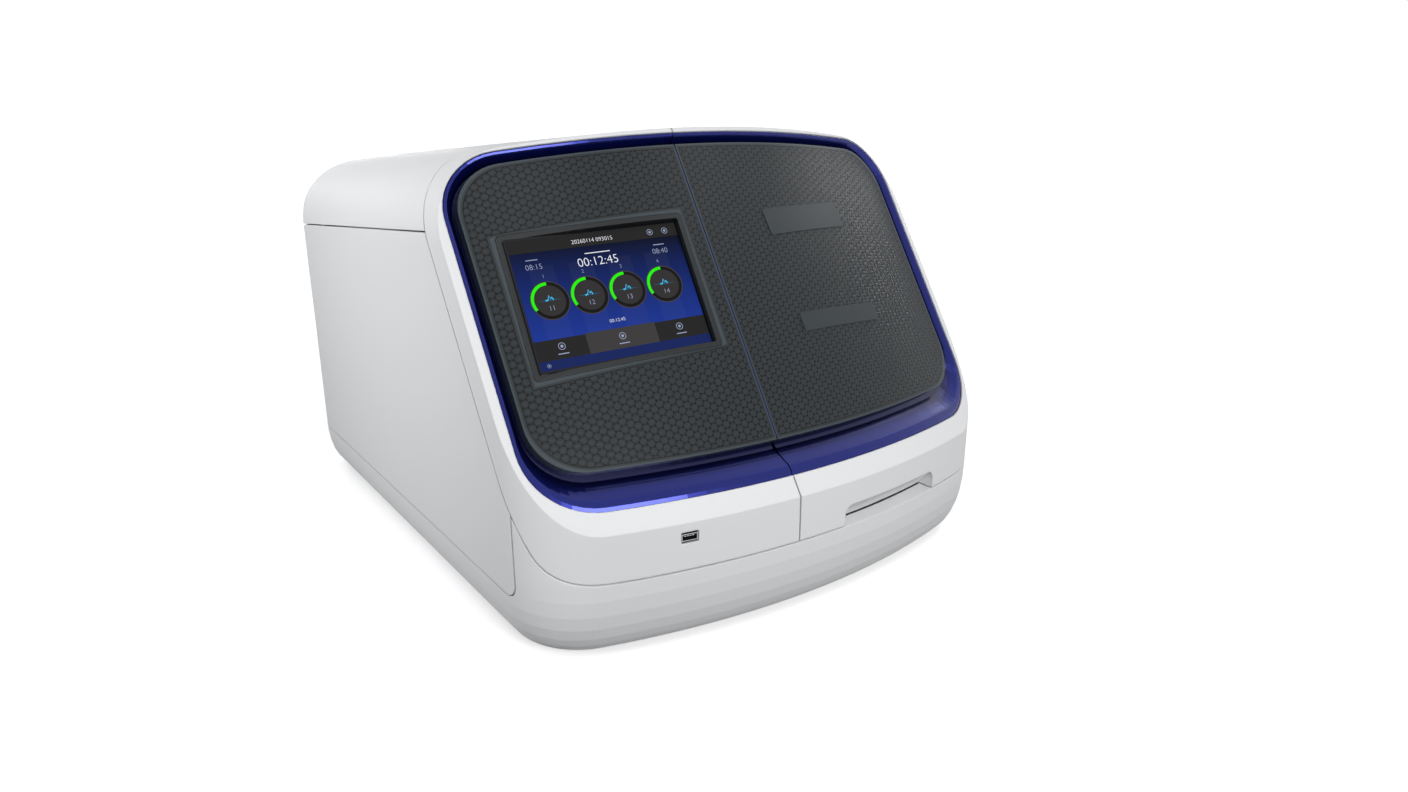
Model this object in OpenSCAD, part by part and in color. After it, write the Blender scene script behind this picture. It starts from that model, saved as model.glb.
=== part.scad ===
// Benchtop capillary sequencer: wedge-fronted instrument with a lift-up door, touchscreen,
// autosampler, drop-in cartridge and rear-mounted services. Millimetres, +Z up, the front
// faces -Y, and the origin lies on the bench under the middle of the instrument.

/* [Housing] */
// Overall width
body_w = 495; // [480:1:540]
// Overall depth
body_d = 605; // [595:1:660]
// Height of the housing above its feet
body_h = 386; // [380:1:410]
// Height of the feet
foot_h = 6; // [4:1:12]
// Diameter of a foot
foot_d = 38; // [24:1:50]
// Wall of the plastic covers
wall = 3; // [2.4:0.1:3.4]
// Gap between neighbouring covers
seam = 1.2; // [0.8:0.1:1.8]
// Radius of the bow of the front, in plan
bow_r = 712; // [660:1:800]
// Radius of the upright front corners, in plan
front_corner_r = 72; // [60:1:80]
// Radius of the upright rear corners, in plan
rear_corner_r = 18; // [12:1:22]
// Radius of the crown of the top
crown_r = 1515; // [1300:5:1900]
// Radius of the rolled edge between top and sides
top_corner_r = 72; // [60:1:80]
// Fall of the top towards the rear, in degrees
top_fall = 4.5; // [3:0.1:5]

/* [Face] */
// Lean of the face back from the upright, in degrees
face_lean = 33; // [30:0.5:35]
// Height above the feet of the crease between the face and the lower strip
crease_h = 103; // [98:1:110]
// Distance of the trim's opening in from the side of the housing
trim_side_gap = 7.5; // [6.5:0.5:11.5]
// Lower edge of the trim above the crease, along the face
trim_low = 18.8; // [16:0.2:22]
// Distance of the trim's upper edge below the level of the top, along the face
trim_top_gap = 4.4; // [3.4:0.5:11]
// Corner radius of the trim at the top
trim_top_r = 50; // [44:1:56]
// Corner radius of the trim at the bottom
trim_bottom_r = 60; // [54:1:66]
// Width of the trim at the side
trim_side_w = 12; // [9:0.5:17]
// Width of the trim at the bottom
trim_low_w = 32; // [28:0.5:37]
// Width of the trim at the top
trim_top_w = 9.4; // [8:0.2:17]
// Corner radius of the dark panels at the top
panel_top_r = 40; // [36:1:46]
// Corner radius of the dark panels at the bottom
panel_bottom_r = 46; // [40:1:52]
// Depth of the dark panels behind the face
panel_sink = 4; // [3:0.5:6]
// Thickness of the dark panels
panel_t = 3; // [2.4:0.1:4]
// Depth of the gutter in the trim, behind the face
gutter_depth = 13; // [10:0.5:16]
// Distance of the upright seam left of the middle
door_seam_x = -30; // [-34:1:-26]
// Distance behind the side edge of the face at which the front covers end
lip_depth = 26; // [24:0.5:30]

/* [Base] */
// Height of the base above the feet, at the front
base_h = 63.4; // [58:0.2:70]
// Height above the feet of the lower edge of the side panels
side_low_h = 42.4; // [38:0.2:46]
// Inward tuck of the base at its foot, at the front
tuck_front = 19; // [14:1:24]
// Inward tuck of the base at its foot, at the sides and rear
tuck_side = 13; // [9:1:16]
// Radius with which the seam of the front covers turns over the base
seam_turn_r = 50; // [40:1:60]
// Lower front corner radius of the side panels
side_corner_r = 12; // [8:1:16]
// Depth of the top cover's seam below the crown of the top, at the front seam
cap_seam_drop = 76; // [70:1:82]
// Fall of the top cover's seam towards the rear, in degrees
cap_seam_fall = 5; // [4:0.5:6]

/* [Handle and port] */
// Left end of the finger recess
recess_x0 = 20.5; // [12:0.5:40]
// Right end of the finger recess
recess_x1 = 144.5; // [120:0.5:160]
// Height of the finger recess above the base seam
recess_h = 18; // [14:0.5:22]
// Depth of the finger recess
recess_depth = 17; // [12:0.5:20]
// Sideways place of the front port
port_x = -131; // [-160:1:-80]
// Height of the front port above the base seam
port_up = 27.4; // [22:0.2:30]
// Width of the front port's opening
port_w = 14.6; // [13.8:0.1:16]
// Height of the front port's opening
port_h = 9.4; // [8.6:0.1:10.2]

/* [Screen] */
// Width of the touchscreen glass
glass_w = 152; // [140:1:160]
// Height of the touchscreen glass
glass_h = 112; // [100:1:120]
// Thickness of the touchscreen glass
glass_t = 2; // [1.5:0.1:3]
// Distance of the glass in from the side edge of the dark panel
glass_side = 23.3; // [18:0.1:28]
// Middle of the glass, up the face from the crease
glass_v = 200.6; // [190:0.2:210]
// Depth of the middle of the glass behind the crown of the face
glass_sink = 18.6; // [17:0.1:22]
// Turn of the glass to follow the bow, in degrees
glass_yaw = 6; // [4:0.5:8]
// Turn of the glass in its own plane, in degrees
glass_roll = -1.3; // [-2:0.1:0]
// Width of the smooth frame round the glass
bezel_w = 4.5; // [3.5:0.5:6]

/* [Compartment] */
// Height of the sample compartment's floor above the feet
deck_h = 76; // [72:1:84]
// Depth of the sample compartment's roof below the crown of the top
roof_drop = 98; // [92:1:106]
// Distance of the sample compartment's left wall from the upright seam
bay_seam_gap = 10; // [6:1:20]
// Distance of the sample compartment's right wall in from the side of the housing
bay_side_gap = 17.5; // [17.5:0.5:21.5]
// Rear wall of the sample compartment, behind the middle of the housing
bay_back = 96; // [90:1:110]
// Thickness of the compartment's walls
bay_t = 2.5; // [2:0.1:3.5]
// Distance of the door hinge behind the front covers' seam, along the top
hinge_back = 42; // [38:1:50]
// Depth of the door hinge below the crown of the top
hinge_below = 18; // [17.5:0.5:20]
// Radius of the hinge pins
hinge_pin_r = 3; // [2.5:0.1:3.5]
// Width of a hinge arm
arm_w = 10; // [8:0.5:12]

/* [Autosampler] */
// Travel of the carriage to either side of its middle
carriage_travel = 60; // [40:1:64]
// Travel of the cross stage to either side of its middle
cross_travel = 40; // [25:1:42]
// Lift of the plate table
lift_travel = 18; // [12:1:18]
// Diameter of the guide rods
rod_d = 8; // [6:0.5:9]
// Diameter of the leadscrew
screw_d = 8; // [6:0.5:9]

/* [Cartridge] */
// Width of the cartridge
cart_w = 104; // [96:1:112]
// Height of the cartridge
cart_h = 84; // [78:1:88]
// Length of the cartridge
cart_l = 150; // [140:1:156]
// Running clearance round the cartridge
cart_gap = 0.5; // [0.4:0.1:1]

/* [Services] */
// Size of the cooling fans
fan_size = 80; // [70:1:84]
// Depth of the cooling fans
fan_depth = 25; // [20:1:30]
// Radius of the fans' hubs
fan_hub_r = 17; // [14:0.5:20]
// Number of blades of a fan
fan_blades = 7; // [5:1:9]

/* [Hidden] */
$fn = 96;

base_z = foot_h;
crease_z = foot_h + crease_h;
seam_z = foot_h + base_h;
side_low_z = foot_h + side_low_h;
deck_z = foot_h + deck_h;
front_y = -body_d / 2;
back_y = body_d / 2;
top_z = foot_h + body_h;
roof_z = top_z - roof_drop;
trim_half_w = body_w / 2 - trim_side_gap;
trim_high = (top_z - crease_z) / cos(face_lean) - trim_top_gap;
panel_half_w = trim_half_w - trim_side_w;
panel_low = trim_low + trim_low_w;
panel_high = trim_high - trim_top_w;
glass_x = glass_side + glass_w / 2 - panel_half_w;
bay_x0 = door_seam_x + bay_seam_gap;
bay_x1 = body_w / 2 - bay_side_gap;
face_r = bow_r / cos(face_lean);
face_top_y = front_y + (top_z - crease_z) * tan(face_lean);
level_bow_r = bow_r / sin(face_lean);
side_sag = face_r - sqrt(face_r * face_r - body_w * body_w / 4);
lip_n = side_sag + lip_depth;
reach = 900;
slope = [sin(face_lean), cos(face_lean)];
outward = [-cos(face_lean), sin(face_lean)];

// Y of the leaning plane that lies a depth behind the apex of the face, at height z
function plane_y(depth, z) =
    front_y + (depth + (z - crease_z) * sin(face_lean)) / cos(face_lean);
// Depth of the crown of the face behind its middle, at a place across the face
function bow_fall(x) = face_r - sqrt(face_r * face_r - x * x);
// Height of the crown of the top over the middle, at a depth y
function crown_z(x, y) = top_z - (y - face_top_y) * tan(top_fall)
    - (crown_r - sqrt(crown_r * crown_r - x * x)) / cos(top_fall);

post_top_z = seam_z + seam_turn_r;
post_y = plane_y(lip_n, post_top_z);
cap_front_z = top_z - cap_seam_drop;
cap_front_y = plane_y(lip_n, cap_front_z);
corner_wrap = rear_corner_r + 6;
rear_top_z = cap_front_z - (back_y - cap_front_y) * tan(cap_seam_fall) - seam / 2;
upright_x = body_w / 2 - wall - 7;
upright_t = 2;
upright_y0 = front_y + 182.5;
upright_y1 = back_y - 18.5;
hinge_y = plane_y(lip_n, top_z) + hinge_back;
hinge_z = crown_z(0, hinge_y) - hinge_below;
hinge_x = [bay_x0 + 32, bay_x1 - 106];

// ---- construction shapes ---------------------------------------------------

// Points along an arc about c, from angle a0 to a1
function arc(c, r, a0, a1, steps) =
    [for (i = [0 : steps]) let (a = a0 + (a1 - a0) * i / steps) c + r * [cos(a), sin(a)]];

// Outline with a bowed front edge whose apex is at the origin, rounded into straight sides
function bowed_points(w, bow, corner, depth, back_corner, inset, steps) =
    let (cx = w / 2 - corner,
         cy = bow - sqrt((bow - corner) * (bow - corner) - cx * cx),
         turn = asin(cx / (bow - corner)),
         bx = w / 2 - back_corner,
         by = depth - back_corner,
         back = back_corner - inset)
    concat(
        arc([0, bow], bow - inset, -90 - turn, -90 + turn, steps[0]),
        [for (i = [1 : steps[1]]) let (a = -90 + turn + (90 - turn) * i / steps[1])
            [cx, cy] + (corner - inset) * [cos(a), sin(a)]],
        back_corner > 0 ? arc([bx, by], back, 0, 90, steps[2]) : [[w / 2 - inset, by]],
        back_corner > 0 ? arc([-bx, by], back, 90, 180, steps[2]) : [[inset - w / 2, by]],
        [for (i = [0 : steps[1] - 1]) let (a = 180 + (90 - turn) * i / steps[1])
            [-cx, cy] + (corner - inset) * [cos(a), sin(a)]]);

module bowed(w, bow, corner, depth, back_corner = 0, inset = 0, steps = [32, 20, 6]) {
    polygon(bowed_points(w, bow, corner, depth, back_corner, inset, steps));
}

// Rectangle with rounded corners, centred
module pill(w, h, r) {
    square([w - 2 * r, h], center = true);
    square([w, h - 2 * r], center = true);
    for (sx = [-1, 1], sy = [-1, 1])
        translate([sx * (w / 2 - r), sy * (h / 2 - r)]) circle(r = r, $fn = 32);
}

// Block with rounded upright edges, standing on z
module block(w, d, h, r = 2) {
    linear_extrude(h) pill(w, d, r);
}

// Plan of the housing
module plan(inset = 0) {
    translate([0, front_y])
        bowed(body_w, bow_r, front_corner_r, body_d, rear_corner_r, inset);
}

// Frame on the face: X across, Y up the slope from the crease, Z out of the face
module on_face() {
    translate([0, front_y, crease_z]) rotate([90 - face_lean, 0, 0]) children();
}

// Everything inside the bowed, leaning face, moved in by an inset
module behind_face(inset = 0) {
    on_face() translate([0, 0, -face_r]) rotate([-90, 0, 0])
        cylinder(r = face_r - inset, h = 2 * reach, center = true, $fn = 720);
}

// Bowed sheet parallel to the face, between two depths
module face_sheet(depth0, depth1) {
    difference() {
        behind_face(depth0);
        behind_face(depth1);
    }
}

// Outer form of the housing above a height, moved in by an inset
module form(inset = 0, from_z = 0) {
    intersection() {
        translate([0, 0, from_z]) linear_extrude(top_z + 40) plan(inset);
        translate([0, face_top_y, top_z]) rotate([-top_fall, 0, 0])
            rotate([90, 0, 0]) linear_extrude(2 * reach, center = true) mirror([0, 1])
                bowed(body_w, crown_r, top_corner_r, body_h + 120, 0, inset, [14, 24, 1]);
        behind_face(inset);
    }
}

// Outer skin of the housing above a height
module shell(from_z) {
    difference() {
        form(0, from_z);
        form(wall, from_z - 1);
    }
}

// Extrudes a side profile, given as (y, z), across the housing from x0 to x1
module across(x0 = -reach, x1 = reach) {
    translate([x0, 0, 0]) rotate([90, 0, 90]) linear_extrude(x1 - x0) children();
}

// Side profile of all that belongs to the front covers, drawn back by off
module front_profile(off = 0) {
    level = seam_z + off;
    c = [plane_y(lip_n - seam_turn_r, seam_z + seam_turn_r), seam_z + seam_turn_r];
    turn = arc(c, seam_turn_r - off, -90, -face_lean, 10);
    polygon(concat([[-reach, level]], turn, [turn[10] + reach * slope,
        [-reach, level + reach]]));
}

// Side profile of the side panels, behind the front covers, drawn in by off
module side_profile(off = 0) {
    y0 = post_y + off;
    z0 = side_low_z + off;
    r = side_corner_r - off;
    fall = tan(cap_seam_fall);
    difference() {
        polygon(concat(arc([y0 + r, z0 + r], r, 180, 270, 6),
            [[reach, z0], [reach, cap_front_z - (reach - cap_front_y) * fall - off],
             [y0, cap_front_z + (cap_front_y - y0) * fall - off]]));
        front_profile(-off);
    }
}

// Side profile of all that lies above the top cover's seam, drawn up by off
module cap_profile(off = 0) {
    fall = tan(cap_seam_fall);
    difference() {
        polygon([[-reach, cap_front_z + (reach + cap_front_y) * fall + off],
                 [reach, cap_front_z - (reach - cap_front_y) * fall + off],
                 [reach, reach], [-reach, reach]]);
        front_profile(-off);
    }
}

// Band from x0 to x1 over the whole housing
module band(x0, x1) {
    translate([x0, -reach, -1]) cube([x1 - x0, 2 * reach, reach]);
}

// Outline on the face whose lower edge is level, from v0 up to v1
module face_outline(half_w, v0, v1, top_r, bottom_r, inset = 0) {
    translate([0, v0])
        bowed(2 * half_w, level_bow_r, bottom_r, v1 - v0, top_r, inset, [16, 12, 10]);
}

module trim_outline(inset = 0) {
    face_outline(trim_half_w, trim_low, trim_high, trim_top_r, trim_bottom_r, inset);
}

module panel_outline(inset = 0) {
    face_outline(panel_half_w, panel_low, panel_high, panel_top_r, panel_bottom_r, inset);
}

// Prism through the face over an outline
module through_face(depth = 60) {
    on_face() translate([0, 0, -depth]) linear_extrude(depth + 20) children();
}

// Prism of the left or right half of an outline on the face, clear of the upright seam
module half_prism(side, depth = 60, gap = seam) {
    intersection() {
        through_face(depth) children();
        band(side < 0 ? -reach : door_seam_x + gap / 2, side < 0 ? door_seam_x - gap / 2 : reach);
    }
}

// ---- base ------------------------------------------------------------------

// Inward tuck at a height, running out at from_z with an upright tangent
function tuck(z, from_z, amount) =
    let (t = 0.94 * max(0, from_z - z) / (from_z - base_z))
    amount * (1 - sqrt(1 - t * t)) / (1 - sqrt(1 - 0.94 * 0.94));

// Plan of the housing as points, tucked in by side all round and by front at the front
function tucked_plan(side, front) =
    [for (p = bowed_points(body_w, bow_r, front_corner_r, body_d, rear_corner_r, side,
        [32, 20, 6])) [p[0], front_y + p[1] + (p[1] < body_d / 2 ? front - side : 0)]];

// Rounded tub below the base seam, carried upright above it, moved in by an inset
module tub(inset = 0, levels = 7) {
    heights = concat([seam_z + seam_turn_r + 20 + inset], [for (i = [0 : levels])
        seam_z - (seam_z - base_z - inset) * sin(90 * i / levels)]);
    rings = [for (z = heights) [for (p = tucked_plan(tuck(z - inset, side_low_z, tuck_side)
        + inset, tuck(z - inset, seam_z, tuck_front) + inset)) [p[0], p[1], z]]];
    n = len(rings[0]);
    m = len(heights);
    polyhedron([for (r = rings, p = r) p], concat(
        [[for (i = [n - 1 : -1 : 0]) i]], [[for (i = [0 : n - 1]) (m - 1) * n + i]],
        [for (k = [0 : m - 2], i = [0 : n - 1]) let (j = (i + 1) % n)
            [k * n + i, k * n + j, (k + 1) * n + j]],
        [for (k = [0 : m - 2], i = [0 : n - 1]) let (j = (i + 1) % n)
            [k * n + i, (k + 1) * n + j, (k + 1) * n + i]]));
}

boss_x = body_w / 2 - 62.5;
boss_y = [front_y + 152.5, (front_y + back_y) / 2 + 47.5, back_y - 57.5];
boss_h = 12;
plate_z = base_z + wall + boss_h;
plate_t = 2;
foot_x = body_w / 2 - 62.5;
foot_y = [front_y + 87.5, back_y - 62.5];
ledge_t = 3;

module base_housing() {
    color("#e4e6e7") {
        difference() {
            tub();
            tub(wall, 5);
            across() front_profile(-seam / 2);
            across() side_profile(-seam / 2);
        }
        intersection() {
            translate([recess_x0 - 8, front_y, seam_z - seam / 2 - ledge_t])
                cube([recess_x1 - recess_x0 + 16, recess_depth + 30, ledge_t]);
            linear_extrude(reach) plan(wall / 2);
        }
        for (x = [-boss_x, 0, boss_x], y = boss_y)
            translate([x, y, base_z + wall - 0.5]) difference() {
                cylinder(d = 12, h = boss_h + 0.5);
                translate([0, 0, 2.5]) cylinder(d = 4, h = boss_h, $fn = 24);
            }
    }
}

module feet() {
    color("#2a2c2e") for (x = [-foot_x, foot_x], y = foot_y) translate([x, y, 0])
        rotate_extrude($fn = 64) difference() {
            polygon([[0, 0], [foot_d / 2 - 1.5, 0], [foot_d / 2, 1.5],
                     [foot_d / 2 - 1, foot_h], [0, foot_h]]);
            translate([0, -0.5]) square([foot_d / 6, 1.5]);
        }
}

// ---- inner frame -----------------------------------------------------------

plate_half_w = upright_x - 11.5;
plate_y0 = front_y + 97.5;
plate_y1 = back_y - 16.5;
flange_h = 10;

module chassis_plate() {
    color("#b9bcbf") difference() {
        union() {
            translate([-plate_half_w, plate_y0, plate_z])
                cube([2 * plate_half_w, plate_y1 - plate_y0, plate_t]);
            for (side = [-1, 1]) translate([side * plate_half_w, plate_y0, plate_z])
                mirror([side > 0 ? 1 : 0, 0, 0])
                    cube([plate_t, plate_y1 - plate_y0, flange_h]);
        }
        for (x = [-boss_x, 0, boss_x], y = boss_y)
            translate([x, y, plate_z - 1]) cylinder(d = 4.5, h = plate_t + 2, $fn = 24);
        for (i = [0 : 7]) translate([22 * i + 77.5 - upright_x, back_y - 192.5, plate_z - 1])
            linear_extrude(plate_t + 2) rotate(90) pill(60, 8, 3.9);
        translate([-plate_half_w - 1, plate_y0 - 1, plate_z - 1]) cube([60, 40, 40]);
        translate([plate_half_w - 59, plate_y0 - 1, plate_z - 1]) cube([60, 40, 40]);
    }
}

beam_y = hinge_y + 16;
beam_w = 26;
beam_z = roof_z + bay_t + 1.5;
beam_h = 20;

// Side profile of a side frame: a plate with lightening holes
module upright_profile() {
    z0 = plate_z + plate_t + 2;
    difference() {
        polygon([[upright_y0, z0], [upright_y1, z0], [upright_y1, beam_z - 40],
                 [beam_y + beam_w + 30, beam_z + beam_h], [beam_y - 8, beam_z + beam_h],
                 [upright_y0, 180]]);
        for (i = [0 : 2], z = [80, 160])
            translate([upright_y0 + 50 + i * (upright_y1 - upright_y0 - 144) / 2, z]) pill(52, 56, 14);
    }
}

rear_flange_z = [56, rear_top_z - 26.8];
rear_flange_h = 15;
rear_screw_x = upright_x - 25.5;
link_x = body_w / 2 - corner_wrap + 2.5;

module frame_uprights() {
    color("#aeb2b5") {
        for (side = [-1, 1]) across(side * upright_x - upright_t / 2,
            side * upright_x + upright_t / 2) upright_profile();
        for (side = [-1, 1]) translate([side * (upright_x + upright_t / 2) - (side > 0 ? 12.2 : 0),
            upright_y0 + 30, plate_z + plate_t]) cube([12.2, upright_y1 - upright_y0 - 40, 2]);
        for (mirrored = [0, 1], z = rear_flange_z) mirror([mirrored, 0, 0]) difference() {
            translate([0, 0, z]) linear_extrude(rear_flange_h) {
                translate([link_x - 2, upright_y1 - 2]) square([upright_x - link_x + 3, 2]);
                translate([link_x - 2, upright_y1 - 2])
                    square([2, back_y - wall - 0.3 - upright_y1 + 2]);
                translate([link_x - 30, back_y - wall - 2.3]) square([30, 2]);
            }
            translate([rear_screw_x, back_y - 20, z + rear_flange_h / 2]) rotate([-90, 0, 0])
                cylinder(d = 4.2, h = 20, $fn = 32);
        }
    }
}

module cross_beam() {
    color("#aeb2b5") difference() {
        translate([upright_t / 2 - upright_x, beam_y, beam_z])
            cube([2 * upright_x - upright_t, beam_w, beam_h]);
        translate([-upright_x, beam_y + 2, beam_z - 1])
            cube([2 * upright_x, beam_w - 4, beam_h - 1]);
    }
}

// ---- covers ----------------------------------------------------------------

side_boss_y = [upright_y0 + 120, back_y - 52.5];
side_boss_z = [60, 200];

module side_panel() {
    difference() {
        intersection() {
            shell(side_low_z - 10);
            across() side_profile(seam / 2);
        }
        band(-body_w / 2 + corner_wrap, body_w / 2 - corner_wrap);
    }
    for (mirrored = [0, 1], y = side_boss_y, z = side_boss_z) mirror([mirrored, 0, 0])
        translate([upright_x + upright_t / 2 + 0.3, y, z]) rotate([0, 90, 0])
            cylinder(d = 12, h = body_w / 2 - wall / 2 - upright_x - upright_t / 2 - 0.3, $fn = 32);
}

module side_panel_left() {
    color("#e4e6e7") intersection() {
        side_panel();
        band(-reach, 0);
    }
}

module side_panel_right() {
    color("#e4e6e7") intersection() {
        side_panel();
        band(0, reach);
    }
}

module top_cover() {
    color("#eceeef") {
        intersection() {
            shell(cap_front_z - 80);
            across() cap_profile(seam / 2);
        }
        for (x = [-120, 0, 120]) intersection() {
            form(wall - 0.2, cap_front_z);
            translate([x - 1.5, beam_y + beam_w + 14, beam_z + beam_h + 20]) cube([3, 190, 200]);
            difference() {
                form(wall - 0.2, cap_front_z);
                form(wall + 9, cap_front_z - 90);
            }
        }
    }
}

fan_x = [69.5 - upright_x, 161.5 - upright_x];
fan_z = 196;
inlet_x = 51.5 - upright_x;
inlet_z = 84;
rocker_x = 95.5 - upright_x;
port_zone_x = 177.5 - upright_x;
vent_x = upright_x - 127.5;

// Ring of four holes, in the plane of the rear panel
module fan_holes(d) {
    for (sx = [-1, 1], sz = [-1, 1])
        translate([sx * fan_size * 0.41, sz * fan_size * 0.41]) circle(d = d, $fn = 24);
}

// Places children on the rear panel: X to the right seen from the front, Y up, Z inwards
module on_rear(x, z) {
    translate([x, back_y, z]) rotate([90, 0, 0]) children();
}

module rear_panel() {
    half = body_w / 2 - corner_wrap - seam;
    z0 = side_low_z + seam / 2;
    color("#dfe1e2") difference() {
        translate([-half, back_y - wall, z0]) cube([2 * half, wall, rear_top_z - z0]);
        for (x = fan_x) on_rear(x, fan_z) translate([0, 0, -1]) linear_extrude(wall + 2) {
            circle(r = fan_size / 2 - 2);
            fan_holes(4.2);
        }
        on_rear(inlet_x, inlet_z) translate([0, 0, -1]) linear_extrude(wall + 2)
            pill(27.6, 20.6, 2);
        on_rear(rocker_x, inlet_z) translate([0, 0, -1]) linear_extrude(wall + 2)
            pill(13.4, 19.6, 1);
        on_rear(port_zone_x, inlet_z) translate([0, 0, -1]) linear_extrude(wall + 2)
            pill(70, 20, 1.5);
        for (x = [-rear_screw_x, rear_screw_x], z = rear_flange_z)
            on_rear(x, z + rear_flange_h / 2) translate([0, 0, -1]) {
                cylinder(d = 7.8, h = 3, $fn = 32);
                cylinder(d = 4.4, h = wall + 2, $fn = 32);
            }
        for (i = [0 : 8], j = [0 : 1]) on_rear(vent_x - 64 + 16 * i, 120 + 80 * j)
            translate([0, 0, -1]) linear_extrude(wall + 2) pill(6, 62, 2.9);
    }
}

module cover_screws() {
    color("#c8cbcd") for (x = [-rear_screw_x, rear_screw_x], z = rear_flange_z)
        on_rear(x, z + rear_flange_h / 2) difference() {
            union() {
                translate([0, 0, 0.3]) cylinder(d = 7, h = 1.6, $fn = 32);
                cylinder(d = 3.9, h = wall + 6, $fn = 32);
            }
            translate([0, 0, -1]) cylinder(d = 3, h = 2.4, $fn = 6);
        }
}

// ---- front, left half -------------------------------------------------------

trim_play = 0.3;
web_t = 2.4;
behind_trim = gutter_depth + 5;

// White front cover on one side of the upright seam, open over the trim
module front_cover(side) {
    x0 = side < 0 ? -reach : door_seam_x + seam / 2;
    x1 = side < 0 ? door_seam_x - seam / 2 : reach;
    web_x0 = side < 0 ? x1 - web_t : x0;
    difference() {
        intersection() {
            union() {
                difference() {
                    shell(seam_z - 5);
                    through_face(behind_trim + side_sag) trim_outline(-trim_play);
                }
                difference() {
                    intersection() {
                        form(1, seam_z);
                        band(web_x0, web_x0 + web_t);
                    }
                    through_face(behind_trim) trim_outline(-trim_play);
                }
                translate([0, 0, seam_z]) linear_extrude(wall) plan(1);
            }
            across() front_profile(seam / 2);
            band(x0, x1);
        }
        intersection() {
            translate([0, 0, seam_z - 1]) linear_extrude(wall + 2) plan(14);
            across() translate([front_y + 14, 0]) square(reach);
            band(x0 + web_t * 2, x1 - web_t * 2);
        }
    }
}

// Frame on the lower strip: at x and z, with Y pointing into the housing
module on_strip(x, z) {
    translate([0, front_y + bow_r, z]) rotate([0, 0, asin(x / bow_r)])
        translate([0, -bow_r, 0]) children();
}

module fascia_left() {
    color("#f0f1f2") difference() {
        front_cover(-1);
        on_strip(port_x, seam_z + port_up) rotate([-90, 0, 0]) translate([0, 0, -2])
            linear_extrude(wall + 14) pill(port_w, port_h, 0.8);
    }
}

port_shell_w = 13.1;
port_shell_h = 5.7;
port_shell_l = 16;

module front_port() {
    color("#c3c6c9") on_strip(port_x, seam_z + port_up) rotate([-90, 0, 0]) {
        translate([0, 0, 1]) difference() {
            linear_extrude(port_shell_l) square([port_shell_w, port_shell_h], center = true);
            translate([0, 0, -1]) linear_extrude(port_shell_l)
                square([port_shell_w - 0.8, port_shell_h - 0.8], center = true);
        }
        translate([-5.5, -port_shell_h / 2 + 0.6, 2]) cube([11, 1.8, port_shell_l - 2]);
        translate([0, 0, wall + 6]) difference() {
            linear_extrude(2) pill(port_w + 6, port_h + 6, 1);
            translate([0, 0, -1]) linear_extrude(4)
                square([port_shell_w - 0.2, port_shell_h - 0.2], center = true);
        }
    }
}

// ---- trim: a channel-section surround lofted between two outlines -----------

arc_steps = 10;
bow_steps = 10;

// Points of half an outline from the upright seam over the top, side and bottom to the seam
function half_outline(side, half_w, v0, v1, top_r, bottom_r, x_seam) =
    let (cx = half_w - bottom_r,
         rb = level_bow_r,
         cy = v0 + rb - sqrt((rb - bottom_r) * (rb - bottom_r) - cx * cx),
         turn = asin(cx / (rb - bottom_r)),
         xs = side * x_seam,
         end = asin(xs / rb))
    [for (p = concat(
        [for (i = [0 : 3]) [xs + (half_w - top_r - xs) * i / 4, v1]],
        [for (i = [0 : arc_steps]) let (a = 90 - 90 * i / arc_steps)
            [half_w - top_r + top_r * cos(a), v1 - top_r + top_r * sin(a)]],
        [for (i = [1 : 3]) [half_w, v1 - top_r + (cy - v1 + top_r) * i / 4]],
        [for (i = [0 : arc_steps]) let (a = -(90 - turn) * i / arc_steps)
            [cx + bottom_r * cos(a), cy + bottom_r * sin(a)]],
        [for (i = [1 : bow_steps]) let (a = turn + (end - turn) * i / bow_steps)
            [rb * sin(a), v0 + rb - rb * cos(a)]])) [side * p[0], p[1]]];

trim_t = 2;
// Section of the trim: share of the way in to the panel, and depth behind the face
trim_section = [[0, 1.2], [0.1, 0.7], [0.27, 1.4], [0.33, 2.6], [0.45, 5.2], [0.62, 8.6],
    [0.82, 0.93 * gutter_depth], [1.1, gutter_depth], [1.1, gutter_depth + trim_t],
    [0.8, gutter_depth + trim_t], [0.3, 2.6 + 2 * trim_t], [0, 2 * trim_t]];

module trim_half(side) {
    x_seam = door_seam_x + side * seam / 2;
    outer = half_outline(side, trim_half_w, trim_low, trim_high, trim_top_r,
        trim_bottom_r, x_seam);
    inner = half_outline(side, panel_half_w, panel_low, panel_high, panel_top_r,
        panel_bottom_r, x_seam);
    n = len(outer);
    m = len(trim_section);
    points = [for (i = [0 : n - 1], s = trim_section)
        let (p = outer[i] + (inner[i] - outer[i]) * s[0])
        [p[0], p[1], -bow_fall(p[0]) - s[1]]];
    sides = [for (i = [0 : n - 2], j = [0 : m - 1]) let (k = (j + 1) % m)
        [i * m + j, i * m + k, (i + 1) * m + k, (i + 1) * m + j]];
    ends = [[for (j = [m - 1 : -1 : 0]) j], [for (j = [0 : m - 1]) (n - 1) * m + j]];
    faces = concat([for (f = sides) [f[0], f[1], f[2]]], [for (f = sides) [f[0], f[2], f[3]]], ends);
    on_face() polyhedron(side > 0 ? points : points,
        side > 0 ? [for (f = faces) [for (i = [len(f) - 1 : -1 : 0]) f[i]]] : faces);
}

module trim_left() {
    color("#1a1f8c") trim_half(-1);
}

module trim_door() {
    color("#1a1f8c") trim_half(1);
}

panel_rim_w = 2.4;
panel_rim_depth = gutter_depth - 0.8;

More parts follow.
